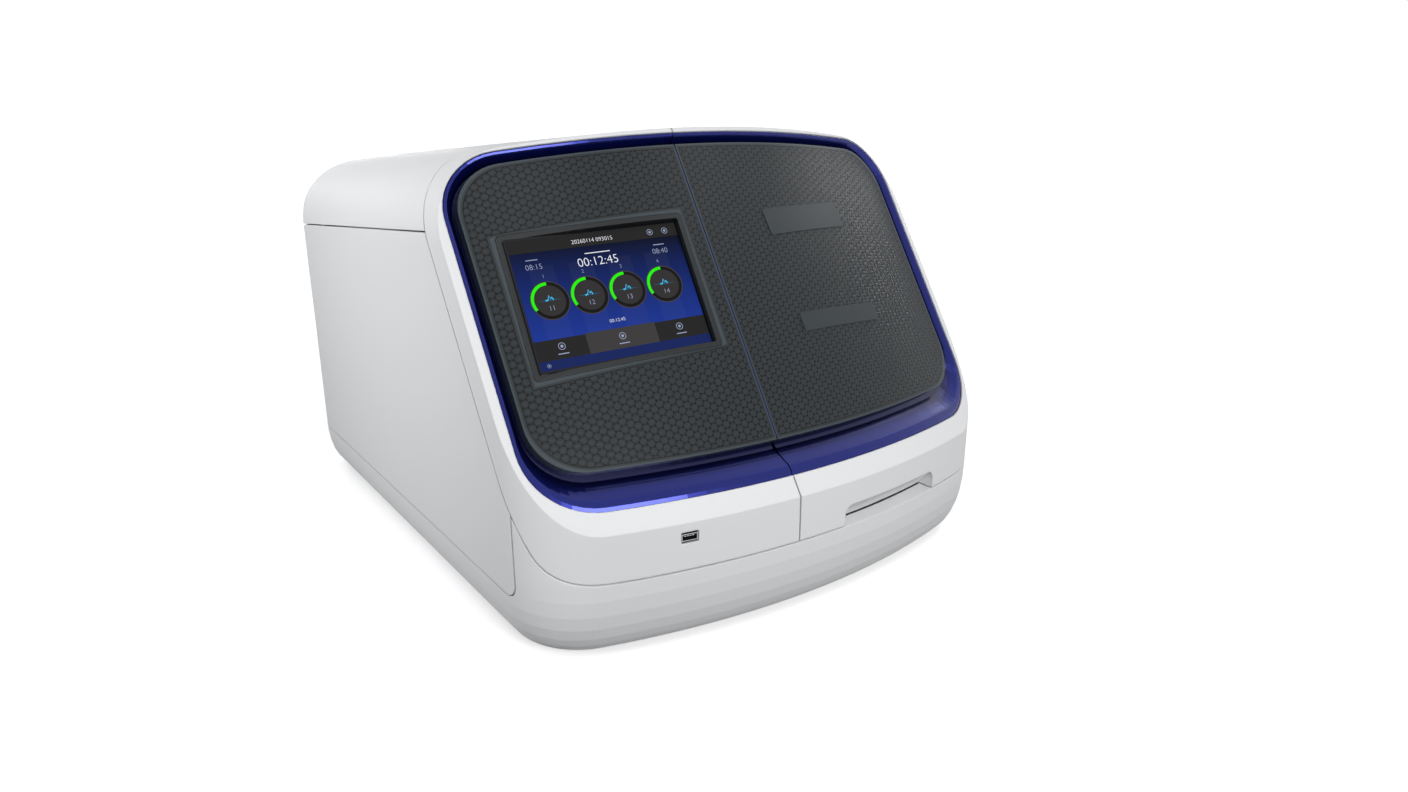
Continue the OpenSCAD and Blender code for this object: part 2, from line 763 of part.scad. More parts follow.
// Dark panel on one side of the upright seam: a bowed plate with a turned-in rim
module dark_panel(side) {
    intersection() {
        union() {
            face_sheet(panel_sink, panel_sink + panel_t);
            difference() {
                face_sheet(panel_sink, panel_rim_depth);
                through_face() panel_outline(panel_rim_w);
            }
        }
        half_prism(side) panel_outline();
    }
}

// Frame on the middle of the touchscreen glass
module on_glass() {
    on_face() translate([glass_x, glass_v, -glass_sink]) rotate([0, -glass_yaw, 0])
        rotate([0, 0, glass_roll]) children();
}

bezel_play = 0.3;
bezel_lip = 1.5;
bezel_back = 12;

module dark_panel_left() {
    color("#3a4044") difference() {
        dark_panel(-1);
        on_glass() translate([0, 0, -40]) linear_extrude(80)
            pill(glass_w + 2 * (bezel_w + bezel_play), glass_h + 2 * (bezel_w + bezel_play), 4);
    }
}

module screen_bezel() {
    color("#4a5054") difference() {
        intersection() {
            on_glass() translate([0, 0, -bezel_back]) linear_extrude(60)
                pill(glass_w + 2 * bezel_w, glass_h + 2 * bezel_w, 4);
            behind_face(panel_sink);
        }
        on_glass() translate([0, 0, -glass_t]) linear_extrude(80)
            pill(glass_w + 0.4, glass_h + 0.4, 1.5);
        on_glass() translate([0, 0, -bezel_back - 1]) linear_extrude(40)
            pill(glass_w - 2 * bezel_lip, glass_h - 2 * bezel_lip, 1);
    }
}

module touchscreen_glass() {
    color("#0c1c4c") on_glass() translate([0, 0, -glass_t]) linear_extrude(glass_t)
        pill(glass_w, glass_h, 1.4);
}

module display_module() {
    color("#9aa0a4") on_glass() translate([0, 0, -glass_t - 9]) {
        linear_extrude(8.7) pill(glass_w - 4, glass_h - 4, 1);
        translate([0, 0, -3]) linear_extrude(3.2) pill(glass_w - 30, glass_h - 30, 2);
        translate([20, -44, -5.5]) cube([30, 8, 6]);
    }
}

// ---- door --------------------------------------------------------------------

recess_corner_r = 9;
recess_wall = 2.5;

// Sloping floor of the finger recess, moved in by an inset
module recess_cone(inset = 0) {
    translate([0, front_y + bow_r, seam_z - 0.01])
        cylinder(h = recess_h + 0.02, r1 = bow_r - recess_depth - inset,
            r2 = bow_r - 0.6 - inset, $fn = 720);
}

// Mouth of the finger recess in the lower strip, seen from the front, grown by grow
module recess_mouth(grow = 0) {
    w = recess_x1 - recess_x0;
    translate([(recess_x0 + recess_x1) / 2, 0, seam_z + recess_h]) rotate([90, 0, 0])
        translate([0, 0, 150]) linear_extrude(200) {
            translate([0, -recess_h]) difference() {
                pill(w + 2 * grow, 2 * (recess_h + grow), recess_corner_r + grow);
                translate([-reach, -reach - 30]) square([2 * reach, reach]);
            }
        }
}

module door_shell() {
    color("#f0f1f2") {
        difference() {
            front_cover(1);
            difference() {
                recess_mouth();
                recess_cone();
            }
        }
        intersection() {
            difference() {
                recess_mouth(recess_wall);
                difference() {
                    recess_mouth();
                    recess_cone();
                }
                recess_cone(recess_wall);
                translate([0, front_y + bow_r, seam_z + recess_h - 0.01])
                    cylinder(r = bow_r - wall + 0.2, h = 40, $fn = 720);
            }
            form(0.5, seam_z + seam / 2);
        }
    }
}

module dark_panel_door() {
    color("#3a4044") dark_panel(1);
}

strip_t = 0.9;

module seam_strip() {
    color("#2a2fb8") intersection() {
        face_sheet(panel_sink + 0.8, panel_rim_depth);
        through_face() panel_outline(panel_rim_w + 1);
        band(door_seam_x - seam / 2 + 0.35, door_seam_x + seam / 2 - 0.1);
    }
}

plate_proud = 0.6;
plates = [[88.3, 245.8, 97.5, 25.5, 3.2], [88.2, 146.8, 98.5, 17.2, 1.2]];

module blank_plates() {
    color("#5a6064") intersection() {
        face_sheet(panel_sink - plate_proud, panel_sink);
        through_face() for (p = plates)
            translate([p[0], p[1]]) rotate(p[4]) pill(p[2], p[3], 0.8);
    }
}

liner_t = 2.5;
liner_back = lip_n - 1;

module door_liner() {
    color("#d5d8da") difference() {
        intersection() {
            union() {
                across() polygon([[plane_y(liner_back - liner_t, 0), 0], [plane_y(liner_back, 0), 0],
                    [plane_y(liner_back, reach), reach], [plane_y(liner_back - liner_t, reach), reach]]);
                difference() {
                    across() polygon([[plane_y(liner_back - 12, 0), 0], [plane_y(liner_back, 0), 0],
                        [plane_y(liner_back, reach), reach],
                        [plane_y(liner_back - 12, reach), reach]]);
                    form(wall + 0.4 + liner_t, 0);
                }
            }
            form(wall + 0.4, seam_z + wall + 1);
            band(door_seam_x + seam / 2 + web_t + 0.4, reach);
            across() front_profile(0.9);
        }
        intersection() {
            recess_mouth(recess_wall + 1);
            translate([-reach, -reach, 0]) cube([2 * reach, reach + front_y + recess_depth + 24, reach]);
        }
    }
}

arm_thick = 12;
arm_foot_z = roof_z + 30;
arm_drop_z = roof_z + bay_t + 10;
boss_r = hinge_pin_r + 4.5;

// Side profile of a gooseneck: down from the pin, then forward to the door's liner
module arm_profile() {
    difference() {
        union() {
            translate([hinge_y, hinge_z]) circle(r = boss_r, $fn = 64);
            polygon([[hinge_y - 6, hinge_z], [hinge_y + 6, hinge_z],
                     [hinge_y + 6, arm_drop_z], [hinge_y - 6, arm_drop_z]]);
            polygon([[hinge_y + 6, arm_drop_z], [hinge_y + 6, arm_drop_z + arm_thick],
                     [plane_y(liner_back + 0.05, arm_foot_z), arm_foot_z],
                     [plane_y(liner_back + 0.05, arm_drop_z), arm_drop_z]]);
        }
        translate([hinge_y, hinge_z]) circle(r = hinge_pin_r + 0.05, $fn = 64);
    }
}

module hinge_arms() {
    color("#8d9296") for (x = hinge_x) across(x - arm_w / 2, x + arm_w / 2) arm_profile();
}

cheek_t = 3;
cheek_gap = 0.4;

module hinge_brackets() {
    color("#a4a8ab") for (x = hinge_x, side = [-1, 1]) {
        x0 = x + side * (arm_w / 2 + cheek_gap) - (side < 0 ? cheek_t : 0);
        across(x0, x0 + cheek_t) difference() {
            union() {
                translate([hinge_y, hinge_z]) circle(r = boss_r - 0.5, $fn = 64);
                polygon([[hinge_y - boss_r + 1, hinge_z - 2], [hinge_y + 2, hinge_z + boss_r - 0.6],
                         [beam_y + beam_w, beam_z + beam_h + 12],
                         [beam_y + beam_w, beam_z + beam_h], [beam_y, beam_z + beam_h]]);
            }
            translate([hinge_y, hinge_z]) circle(r = hinge_pin_r + 0.02, $fn = 64);
        }
    }
}

module hinge_pins() {
    color("#c9ccce") for (x = hinge_x)
        translate([x - arm_w / 2 - cheek_gap - cheek_t - 2, hinge_y, hinge_z]) rotate([0, 90, 0]) {
            cylinder(r = hinge_pin_r, h = arm_w + 2 * (cheek_gap + cheek_t) + 3.5, $fn = 64);
            translate([0, 0, -0.1]) cylinder(r = hinge_pin_r + 1.5, h = 1.9, $fn = 64);
        }
}

catch_x = 70;
catch_z = roof_z + 18.4;

module door_striker() {
    color("#b0b4b7") intersection() {
        across(catch_x - 10, catch_x + 10) polygon([
            [plane_y(liner_back + 0.05, catch_z - 10), catch_z - 10],
            [plane_y(liner_back + 1.2, catch_z - 10), catch_z - 10],
            [plane_y(liner_back + 1.2, catch_z + 12), catch_z + 12],
            [plane_y(liner_back + 0.05, catch_z + 12), catch_z + 12]]);
        band(-reach, reach);
    }
}

module door_catch() {
    color("#3b3f42") across(catch_x - 16, catch_x + 16) difference() {
        polygon([[plane_y(liner_back + 1.6, catch_z - 10), catch_z - 10],
            [plane_y(liner_back + 14, catch_z - 10), catch_z - 10],
            [plane_y(liner_back + 14, catch_z + 8), catch_z + 8],
            [plane_y(liner_back + 1.6, catch_z + 8), catch_z + 8]]);
        polygon([[plane_y(liner_back + 1, catch_z - 4), catch_z - 4],
            [plane_y(liner_back + 4, catch_z - 4), catch_z - 4],
            [plane_y(liner_back + 4, catch_z + 2), catch_z + 2],
            [plane_y(liner_back + 1, catch_z + 2), catch_z + 2]]);
    }
}

// ---- sample compartment -------------------------------------------------------

rim_w = 8;
rim_front = lip_n + 2.5;
rim_t = 2.5;
bay_y1 = bay_back + bay_t;
bay_mid = (bay_x0 + bay_x1) / 2;

// Side profile of everything behind a leaning plane, up to y1
module behind_plane(depth, y1) {
    polygon([[plane_y(depth, 0), 0], [plane_y(depth, reach), reach], [y1, reach], [y1, 0]]);
}

// Block of the compartment's width and height, grown by grow, behind a leaning plane
module bay_block(depth, y1, grow) {
    intersection() {
        across(bay_x0 - grow, bay_x1 + grow) behind_plane(depth, y1);
        translate([-reach, -reach, deck_z - grow]) cube([2 * reach, 2 * reach,
            roof_z - deck_z + 2 * grow]);
    }
}

window_w = 90;
window_h = 50;
window_z = 214;

// Compartment with its front rim, all in one
module bay_form() {
    difference() {
        union() {
            bay_block(rim_front, bay_y1, bay_t);
            intersection() {
                difference() {
                    bay_block(rim_front, bay_y1, rim_w);
                    bay_block(rim_front + rim_t, bay_y1 + 1, rim_w + 1);
                }
                linear_extrude(reach) plan(wall + 1.2);
            }
        }
        bay_block(rim_front - 5, bay_back, 0);
        translate([bay_mid, bay_y1 + 2, window_z]) rotate([90, 0, 0])
            linear_extrude(bay_t + 4) pill(window_w, window_h, 4);
        translate([bay_mid, bay_y1 + 2, screw_z]) rotate([90, 0, 0])
            cylinder(r = screw_d / 2 + 1, h = bay_t + 4);
    }
}

panel_gap = 0.15;

// Floor, two sides and rear wall, each a panel of its own that meets the next edge to edge
module bay_liner() {
    color("#c5c9cc") difference() {
        bay_form();
        translate([-reach, -reach, roof_z]) cube(2 * reach);
        translate([-reach, -reach, deck_z]) cube([2 * reach, 2 * reach, panel_gap]);
        for (x = [bay_x0 - panel_gap, bay_x1]) translate([x, -reach, deck_z])
            cube([panel_gap, 2 * reach, reach]);
    }
}

module bay_roof() {
    color("#c5c9cc") intersection() {
        bay_form();
        translate([-reach, -reach, roof_z]) cube(2 * reach);
    }
}

gasket_w = 5;

module bay_gasket() {
    color("#34373a") intersection() {
        difference() {
            bay_block(liner_back + 0.3, reach, 1.5 + gasket_w);
            bay_block(liner_back - 1, reach, 1.5);
            bay_block(rim_front, reach, rim_w + 5);
        }
        linear_extrude(reach) plan(wall + 1.2);
    }
}

rod_z = deck_z + 11;
screw_z = rod_z;
rod_x = 66;
carriage_y = -42;
carriage_l = 70;
rod_y0 = carriage_y - carriage_l / 2 - carriage_travel - 26;
rod_y1 = bay_back - 6;
run_fit = 0.05;
support_foot_t = 4;

// Bearing block that carries both guide rods and the leadscrew, from y0 to y1
module rod_support(y0, y1) {
    difference() {
        translate([bay_mid - rod_x - 12, y0, deck_z])
            cube([2 * rod_x + 24, y1 - y0, rod_z - deck_z + rod_d / 2 + 3]);
        for (side = [-1, 1]) translate([bay_mid + side * 33, y0 - 1, deck_z + support_foot_t + 15])
            cube([44, 3 * (y1 - y0), 30], center = true);
        translate([bay_mid, y0 - 1, screw_z]) rotate([-90, 0, 0])
            cylinder(r = screw_d / 2 + run_fit, h = y1 - y0 + 2, $fn = 64);
        for (side = [-1, 1]) translate([bay_mid + side * rod_x, y0 - 1, rod_z])
            rotate([-90, 0, 0]) cylinder(r = rod_d / 2 + 0.02, h = y1 - y0 + 2, $fn = 64);
    }
}

module guide_rods() {
    color("#c9cccf") for (side = [-1, 1]) translate([bay_mid + side * rod_x, rod_y0, rod_z])
        rotate([-90, 0, 0]) cylinder(d = rod_d, h = rod_y1 - rod_y0, $fn = 64);
}

module rod_supports() {
    color("#a6abae") {
        rod_support(rod_y0, rod_y0 + 12);
        rod_support(rod_y1 - 12, rod_y1);
    }
}

screw_tail = 16;

module leadscrew() {
    color("#b7bbbe") translate([bay_mid, rod_y0 + 1, screw_z]) rotate([-90, 0, 0]) {
        cylinder(d = screw_d, h = bay_back + screw_tail - rod_y0 - 1, $fn = 64);
        translate([0, 0, 12.5]) cylinder(d = screw_d + 5, h = 4, $fn = 64);
    }
}

motor_w = 42;
motor_l = 34;

module leadscrew_motor() {
    color("#2e3133") translate([bay_mid, bay_y1, screw_z]) rotate([-90, 0, 0]) difference() {
        union() {
            linear_extrude(motor_l) intersection() {
                square(motor_w, center = true);
                rotate(45) square(motor_w * 1.25, center = true);
            }
            translate([0, 0, motor_l]) linear_extrude(8) pill(motor_w - 6, motor_w - 6, 3);
        }
        translate([0, 0, -1]) cylinder(r = screw_d / 2 + run_fit, h = screw_tail + 4, $fn = 64);
    }
}

carriage_half_w = rod_x + 14;
carriage_top = rod_z + 8;
track_h = 3;

module carriage() {
    color("#a6abae") difference() {
        union() {
            translate([bay_mid - carriage_half_w, carriage_y - carriage_l / 2, rod_z - 7])
                cube([2 * carriage_half_w, carriage_l, 15]);
            for (y = [-1, 1]) translate([bay_mid - carriage_half_w + 2,
                carriage_y + y * (carriage_l / 2 - 10) - 4, carriage_top - 0.5])
                cube([2 * carriage_half_w - 4, 8, track_h + 0.5]);
        }
        for (side = [-1, 1]) {
            translate([bay_mid + side * rod_x, carriage_y - carriage_l, rod_z]) rotate([-90, 0, 0])
                cylinder(r = rod_d / 2 + run_fit, h = 2 * carriage_l, $fn = 64);
            translate([bay_mid + side * 33, carriage_y, rod_z]) cube([36, 40, 30], center = true);
        }
        translate([bay_mid, carriage_y - carriage_l, screw_z]) rotate([-90, 0, 0])
            cylinder(r = screw_d / 2 + run_fit, h = 2 * carriage_l, $fn = 64);
    }
}

stage_z = carriage_top + 0.3;
stage_top = stage_z + 8;
pin_reach = 51;
pin_d = 7;
table_w = 164;
table_d = 88;
table_z = stage_top + 1;
table_t = 5;

module cross_stage() {
    color("#8f9497") {
        difference() {
            translate([bay_mid - 62, carriage_y - pin_reach - 8, stage_z])
                cube([124, 2 * pin_reach + 16, stage_top - stage_z]);
            for (y = [-1, 1]) translate([bay_mid - 63,
                carriage_y + y * (carriage_l / 2 - 10) - 4.3, stage_z - 1])
                cube([126, 8.6, track_h + 1]);
            for (side = [-1, 1]) translate([bay_mid + side * 36, carriage_y, stage_z])
                cube([36, 30, 30], center = true);
        }
        for (y = [-1, 1]) translate([bay_mid, carriage_y + y * pin_reach, stage_top - 0.5])
            cylinder(d = pin_d, h = lift_travel + table_t + 8, $fn = 64);
    }
}

module lift_table() {
    color("#d0d3d5") difference() {
        union() {
            translate([bay_mid, carriage_y, table_z]) block(table_w, table_d, table_t, 5);
            for (y = [-1, 1]) hull() {
                translate([bay_mid, carriage_y + y * pin_reach, table_z])
                    cylinder(d = pin_d + 6, h = table_t, $fn = 32);
                translate([bay_mid - 14, carriage_y + y * 40 - 1, table_z]) cube([28, 2, table_t]);
            }
            for (x = [-table_w / 2 + 1, table_w / 2 - 32.4])
                translate([bay_mid + x, carriage_y - table_d / 2 + 6, table_z + table_t - 0.5])
                    cube([1.2, table_d - 12, 4]);
        }
        for (y = [-1, 1]) translate([bay_mid, carriage_y + y * pin_reach, table_z - 1])
            cylinder(d = pin_d + 2 * run_fit, h = table_t + 2, $fn = 64);
    }
}

sample_w = 127.8;
sample_d = 85.5;
sample_h = 14.4;
well_pitch = 9;
well_d = 6.4;
sample_x = bay_mid - table_w / 2 + 2.6 + sample_w / 2;
on_table = table_z + table_t + 0.2;

module sample_plate() {
    color("#eef1f2") translate([sample_x, carriage_y, on_table]) difference() {
        union() {
            block(sample_w, sample_d, 2.5, 3);
            block(sample_w - 3, sample_d - 3, sample_h, 2.5);
        }
        for (i = [0 : 11], j = [0 : 7])
            translate([(i - 5.5) * well_pitch, (j - 3.5) * well_pitch, 3])
                cylinder(d = well_d, h = sample_h, $fn = 16);
    }
}

reservoir_w = 28;
reservoir_x = bay_mid + table_w / 2 - 1.6 - reservoir_w / 2;

module buffer_reservoir() {
    color("#dfe6ea") translate([reservoir_x, carriage_y, on_table]) difference() {
        block(reservoir_w, sample_d - 4, sample_h, 3);
        translate([0, 0, 2]) block(reservoir_w - 4, 22, 16, 2);
        for (y = [-1, 1]) translate([0, y * 26.5, 2]) block(reservoir_w - 4, 24, 16, 2);
    }
}

// ---- cartridge ----------------------------------------------------------------

shelf_z = 158;
shelf_t = 3;
shelf_y0 = -20;
cart_z = shelf_z + shelf_t + cart_gap;
cart_y1 = bay_back - 6;
cart_y0 = cart_y1 - cart_l;
guide_h = 16;

module cartridge_rails() {
    half = cart_w / 2 + cart_gap;
    color("#aab0b3") difference() {
        union() {
            translate([bay_mid - half - 14, shelf_y0, shelf_z])
                cube([2 * half + 28, bay_back - shelf_y0, shelf_t]);
            for (side = [-1, 1]) {
                translate([bay_mid + side * (half + 1.5) - 1.5, shelf_y0, shelf_z + shelf_t - 0.5])
                    cube([3, bay_back - shelf_y0, guide_h]);
                translate([bay_mid + side * (half + 8) - 2, bay_back - 30, shelf_z - 24])
                    cube([4, 30, 24.5]);
            }
        }
        translate([bay_mid, (shelf_y0 + bay_back) / 2 - 6, shelf_z - 1])
            block(60, 60, shelf_t + 2, 6);
        translate([lever_x - 10, lever_y, lever_z]) rotate([0, 90, 0])
            cylinder(r = 3.02, h = 20, $fn = 48);
    }
}

module cartridge_body() {
    color("#3f4a52") translate([bay_mid, 0, cart_z]) difference() {
        union() {
            across(-cart_w / 2, cart_w / 2) difference() {
                polygon([[cart_y0, 4], [cart_y0 + 4, 0], [cart_y1, 0], [cart_y1, cart_h - 10],
                    [cart_y1 - 14, cart_h], [cart_y0 + 46, cart_h], [cart_y0, cart_h - 44]]);
            }
            for (side = [-1, 1]) translate([side * (cart_w / 2 - 9) - 3, cart_y0 + 60, cart_h - 0.5])
                cube([6, cart_l - 84, 3]);
        }
        translate([-30, cart_y0 - 1, 14]) cube([60, 9, 22]);
        translate([-20, cart_y1 - 12, 30]) cube([40, 13, 28]);
        for (i = [-3 : 3]) translate([i * 12 - 1.5, cart_y0 + 64, cart_h - 2])
            cube([3, cart_l - 96, 4]);
    }
}

module cartridge_handle() {
    color("#5a93b8") translate([bay_mid, cart_y0 + 5.5, cart_z + 20]) rotate([90, 0, 0]) difference() {
        linear_extrude(14) pill(52, 12, 3);
        translate([0, 0, -1]) linear_extrude(10) pill(40, 7.5, 2);
    }
}

tip_drop = 12;

module capillary_array() {
    color("#c9cccd") {
        translate([bay_mid - 22, cart_y0 + 14, cart_z - 3]) cube([44, 10, 3]);
        for (i = [0 : 3]) translate([bay_mid + (i - 1.5) * well_pitch, cart_y0 + 19, cart_z - tip_drop])
            cylinder(d = 1.6, h = tip_drop - 2.5, $fn = 24);
    }
}

lever_y = shelf_y0 + 14;
lever_x = bay_mid + cart_w / 2 + cart_gap + 3.4;
lever_z = cart_z + 9;

module cartridge_lever() {
    color("#7f8689") across(lever_x, lever_x + 6) difference() {
        union() {
            translate([lever_y, lever_z]) circle(r = 7, $fn = 48);
            polygon([[lever_y - 4, lever_z], [lever_y + 4, lever_z], [lever_y + 2.5, lever_z + 62],
                     [lever_y - 5.5, lever_z + 62]]);
            translate([lever_y - 3, lever_z + 62]) circle(r = 6, $fn = 48);
        }
        translate([lever_y, lever_z]) circle(r = 3 + run_fit, $fn = 48);
    }
}

module lever_pivot() {
    color("#c9cccf") translate([lever_x - 2.6, lever_y, lever_z]) rotate([0, 90, 0]) {
        cylinder(r = 3, h = 10.2, $fn = 48);
        translate([0, 0, 9]) cylinder(r = 5, h = 1.6, $fn = 48);
    }
}

// ---- optics and electronics ----------------------------------------------------

optics_y = bay_y1 + 22;

module detection_optics() {
    color("#26292b") {
        translate([bay_mid, bay_y1 + 1, window_z]) rotate([-90, 0, 0]) difference() {
            union() {
                cylinder(d = 34, h = 22, $fn = 64);
                linear_extrude(4) pill(window_w + 16, window_h + 14, 5);
            }
            translate([0, 0, -1]) cylinder(d = 24, h = 24, $fn = 64);
        }
        translate([bay_mid, optics_y + 45, window_z - 38]) block(120, 92, 76, 5);
        translate([bay_mid, bay_y1 + 12, window_z - 38 - 4]) block(60, 22, 8, 2);
        for (x = [-45, 45], y = [optics_y + 14, optics_y + 76])
            translate([bay_mid + x, y, plate_z + plate_t])
                cylinder(d = 10, h = window_z - 38 - plate_z - plate_t, $fn = 32);
    }
}

module laser_module() {
    color("#5d6266") translate([bay_mid - 14, optics_y + 119.3, window_z - 30]) {
        block(70, 56, 40, 3);
        for (i = [0 : 8]) translate([-32 + 8 * i, 0, 39.5]) translate([0, -27, 0]) cube([2, 54, 16]);
    }
}

module high_voltage_supply() {
    color("#9ba1a5") translate([upright_x - 87.5, back_y - 52.5, plate_z + plate_t]) {
        difference() {
            block(120, 88, 74, 2);
            for (i = [0 : 8]) translate([-44 + 11 * i, -45, 12]) cube([4, 6, 50]);
        }
        translate([-30, 0, 73.5]) cylinder(d = 14, h = 12, $fn = 48);
        translate([-30, 0, 85]) cylinder(d = 9, h = 8, $fn = 48);
    }
}

module power_supply() {
    color("#b5b9bc") translate([71.5 - upright_x, back_y - 112.5, plate_z + plate_t]) difference() {
        block(100, 150, 46, 2);
        for (i = [0 : 10], j = [0 : 3]) translate([-36 + 24 * j, -62 + 12 * i, 42])
            cylinder(d = 6, h = 6, $fn = 24);
    }
}

board_x = -upright_x + 10;
board_y = upright_y0 + 160;
board_z0 = 112;

module main_board() {
    color("#1f6b45") {
        translate([board_x, board_y - 100, board_z0]) cube([1.6, 190, 150]);
        for (y = [-40, 80], z = [8, 142]) translate([-upright_x + upright_t / 2, board_y + y, board_z0 + z])
            rotate([0, 90, 0]) cylinder(d = 6, h = 9.2, $fn = 32);
        for (i = [0 : 4]) translate([board_x + 1.5, board_y - 88 + 34 * i, board_z0 + 12])
            cube([9, 24, 12]);
        for (i = [0 : 1]) translate([board_x + 1.5, board_y + 24 + 12 * i, board_z0 + 50])
            cube([26, 5, 84]);
        for (i = [0 : 3]) translate([board_x + 1.5, board_y - 84, board_z0 + 44 + 24 * i])
            cube([3, 18, 14]);
    }
}

module board_heatsink() {
    color("#8f9599") translate([board_x + 1.6, board_y - 50, board_z0 + 60]) {
        cube([5, 56, 56]);
        for (i = [0 : 8]) translate([4.5, 6.4 * i, 0]) cube([16, 2, 56]);
    }
}

// ---- services at the rear --------------------------------------------------------

fan_wall_y = back_y - wall - 0.2;

module fan_frames() {
    color("#1e2022") for (x = fan_x) translate([x, fan_wall_y, fan_z]) rotate([90, 0, 0]) difference() {
        linear_extrude(fan_depth) pill(fan_size, fan_size, 5);
        translate([0, 0, 5]) linear_extrude(fan_depth) difference() {
            circle(r = fan_size / 2 - 2.5);
            circle(r = fan_hub_r);
        }
        translate([0, 0, -1]) linear_extrude(7) difference() {
            circle(r = fan_size / 2 - 2.5);
            circle(r = fan_hub_r);
            for (a = [45 : 90 : 315]) rotate(a) translate([fan_hub_r - 1, -2]) square([fan_size / 2, 4]);
        }
        translate([0, 0, 6]) cylinder(r = fan_hub_r + 1, h = fan_depth, $fn = 64);
        translate([0, 0, -1]) linear_extrude(fan_depth + 2) fan_holes(4.2);
    }
}

module fan_rotor(x) {
    blade_r = fan_size / 2 - 4;
    color("#2b2e31") translate([x, fan_wall_y, fan_z]) rotate([90, 0, 0]) translate([0, 0, 6.3]) {
        cylinder(r = fan_hub_r, h = fan_depth - 7, $fn = 96);
        intersection() {
            for (i = [0 : fan_blades - 1]) rotate(i * 360 / fan_blades)
                translate([fan_hub_r - 2, 0, (fan_depth - 7) / 2]) rotate([38, 0, 0])
                    translate([0, -12, -0.8]) cube([fan_size, 24, 1.6]);
            translate([0, 0, 0.6]) cylinder(r = blade_r, h = fan_depth - 8.2, $fn = 96);
        }
    }
}

module fan_rotor_left() { fan_rotor(fan_x[0]); }

module fan_rotor_right() { fan_rotor(fan_x[1]); }

module fan_guards() {
    color("#c4c7c9") for (x = fan_x) on_rear(x, fan_z) translate([0, 0, 0.8]) linear_extrude(1.6) {
        for (r = [8 : 8 : 32]) difference() {
            circle(r = r + 0.8);
            circle(r = r - 0.8);
        }
        difference() {
            circle(r = fan_size / 2 - 2.2);
            circle(r = fan_size / 2 - 4.4);
        }
        for (a = [0 : 45 : 135]) rotate(a) difference() {
            square([fan_size - 7, 1.8], center = true);
            square([15, 4], center = true);
        }
    }
}

module power_inlet() {
    color("#202224") on_rear(inlet_x, inlet_z) difference() {
        union() {
            translate([0, 0, 0.4]) linear_extrude(24) pill(27, 20, 2);
            translate([0, 0, wall + 0.3]) linear_extrude(2.4) pill(36, 26, 3);
        }
        translate([0, 0, -1]) linear_extrude(19) pill(24, 16.6, 3);
    }
    color("#c9a45c") on_rear(inlet_x, inlet_z) for (p = [[-7, -2.5], [0, 3], [7, -2.5]])
        translate([p[0] - 1, p[1] - 2, 4]) cube([2, 4, 15]);
}

rocker_sink = 5.95;
rocker_y = back_y - rocker_sink;

module power_rocker() {
    color("#15171a") across(rocker_x - 5.9, rocker_x + 5.9) difference() {
        translate([rocker_y, inlet_z]) circle(r = 7.6, $fn = 96);
        translate([rocker_y + 13.9, inlet_z]) circle(r = 9.3, $fn = 96);
        translate([rocker_y, inlet_z]) circle(r = 1.5 + run_fit, $fn = 32);
    }
}

module rocker_housing() {
    color("#202224") on_rear(rocker_x, inlet_z) {
        difference() {
            union() {
                translate([0, 0, 0.3]) linear_extrude(17) pill(13, 19, 1);
                translate([0, 0, wall + 0.3]) linear_extrude(2) pill(18, 25, 1.5);
            }
            translate([0, 0, -1]) linear_extrude(15) pill(12.3, 16.4, 0.4);
        }
    }
    color("#c4c7c9") on_rear(rocker_x, inlet_z) translate([-6.4, 0, rocker_sink]) rotate([0, 90, 0])
        cylinder(r = 1.5, h = 12.8, $fn = 32);
}

module data_ports() {
    color("#8d9296") on_rear(port_zone_x, inlet_z) difference() {
        translate([0, 0, 0.8]) union() {
            linear_extrude(16) pill(69.2, 19.2, 1);
            translate([0, 0, wall]) linear_extrude(2) pill(78, 27, 2);
        }
        translate([-24, 1, -1]) linear_extrude(13) square([13.2, 11.4], center = true);
        translate([-6, 1, -1]) linear_extrude(13) square([13.2, 11.4], center = true);
        for (x = [11, 27], z = [-4, 5]) translate([x, z, -1]) linear_extrude(13)
            square([13.4, 5.8], center = true);
    }
    color("#2b2d2f") on_rear(port_zone_x, inlet_z) for (x = [11, 27], z = [-4, 5])
        translate([x - 5.6, z + 0.2, 1.8]) cube([11.2, 1.9, 11]);
}

base_housing();
feet();
chassis_plate();
frame_uprights();
cross_beam();
side_panel_left();
side_panel_right();
top_cover();
rear_panel();
fascia_left();
trim_left();
dark_panel_left();
screen_bezel();
touchscreen_glass();
display_module();
front_port();
bay_liner();
bay_roof();
bay_gasket();
door_shell();
trim_door();
dark_panel_door();
seam_strip();
blank_plates();
door_liner();
hinge_arms();
hinge_brackets();
hinge_pins();
door_striker();
door_catch();
guide_rods();
rod_supports();
leadscrew();
leadscrew_motor();
carriage();
cross_stage();
lift_table();
sample_plate();
buffer_reservoir();
cartridge_rails();
cartridge_body();
cartridge_handle();
capillary_array();
cartridge_lever();
lever_pivot();
detection_optics();
laser_module();
high_voltage_supply();
power_supply();
main_board();
board_heatsink();
fan_frames();
fan_rotor_left();
fan_rotor_right();
fan_guards();
power_inlet();
power_rocker();
rocker_housing();
data_ports();
cover_screws();
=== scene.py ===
"""Looks of the benchtop sequencer: finishes for every CAD node, the lit screen, the studio and the camera."""

import sys

import logging
import math
from collections.abc import Sequence
from dataclasses import dataclass, field
from enum import Enum

import bpy
from mathutils import Matrix, Vector


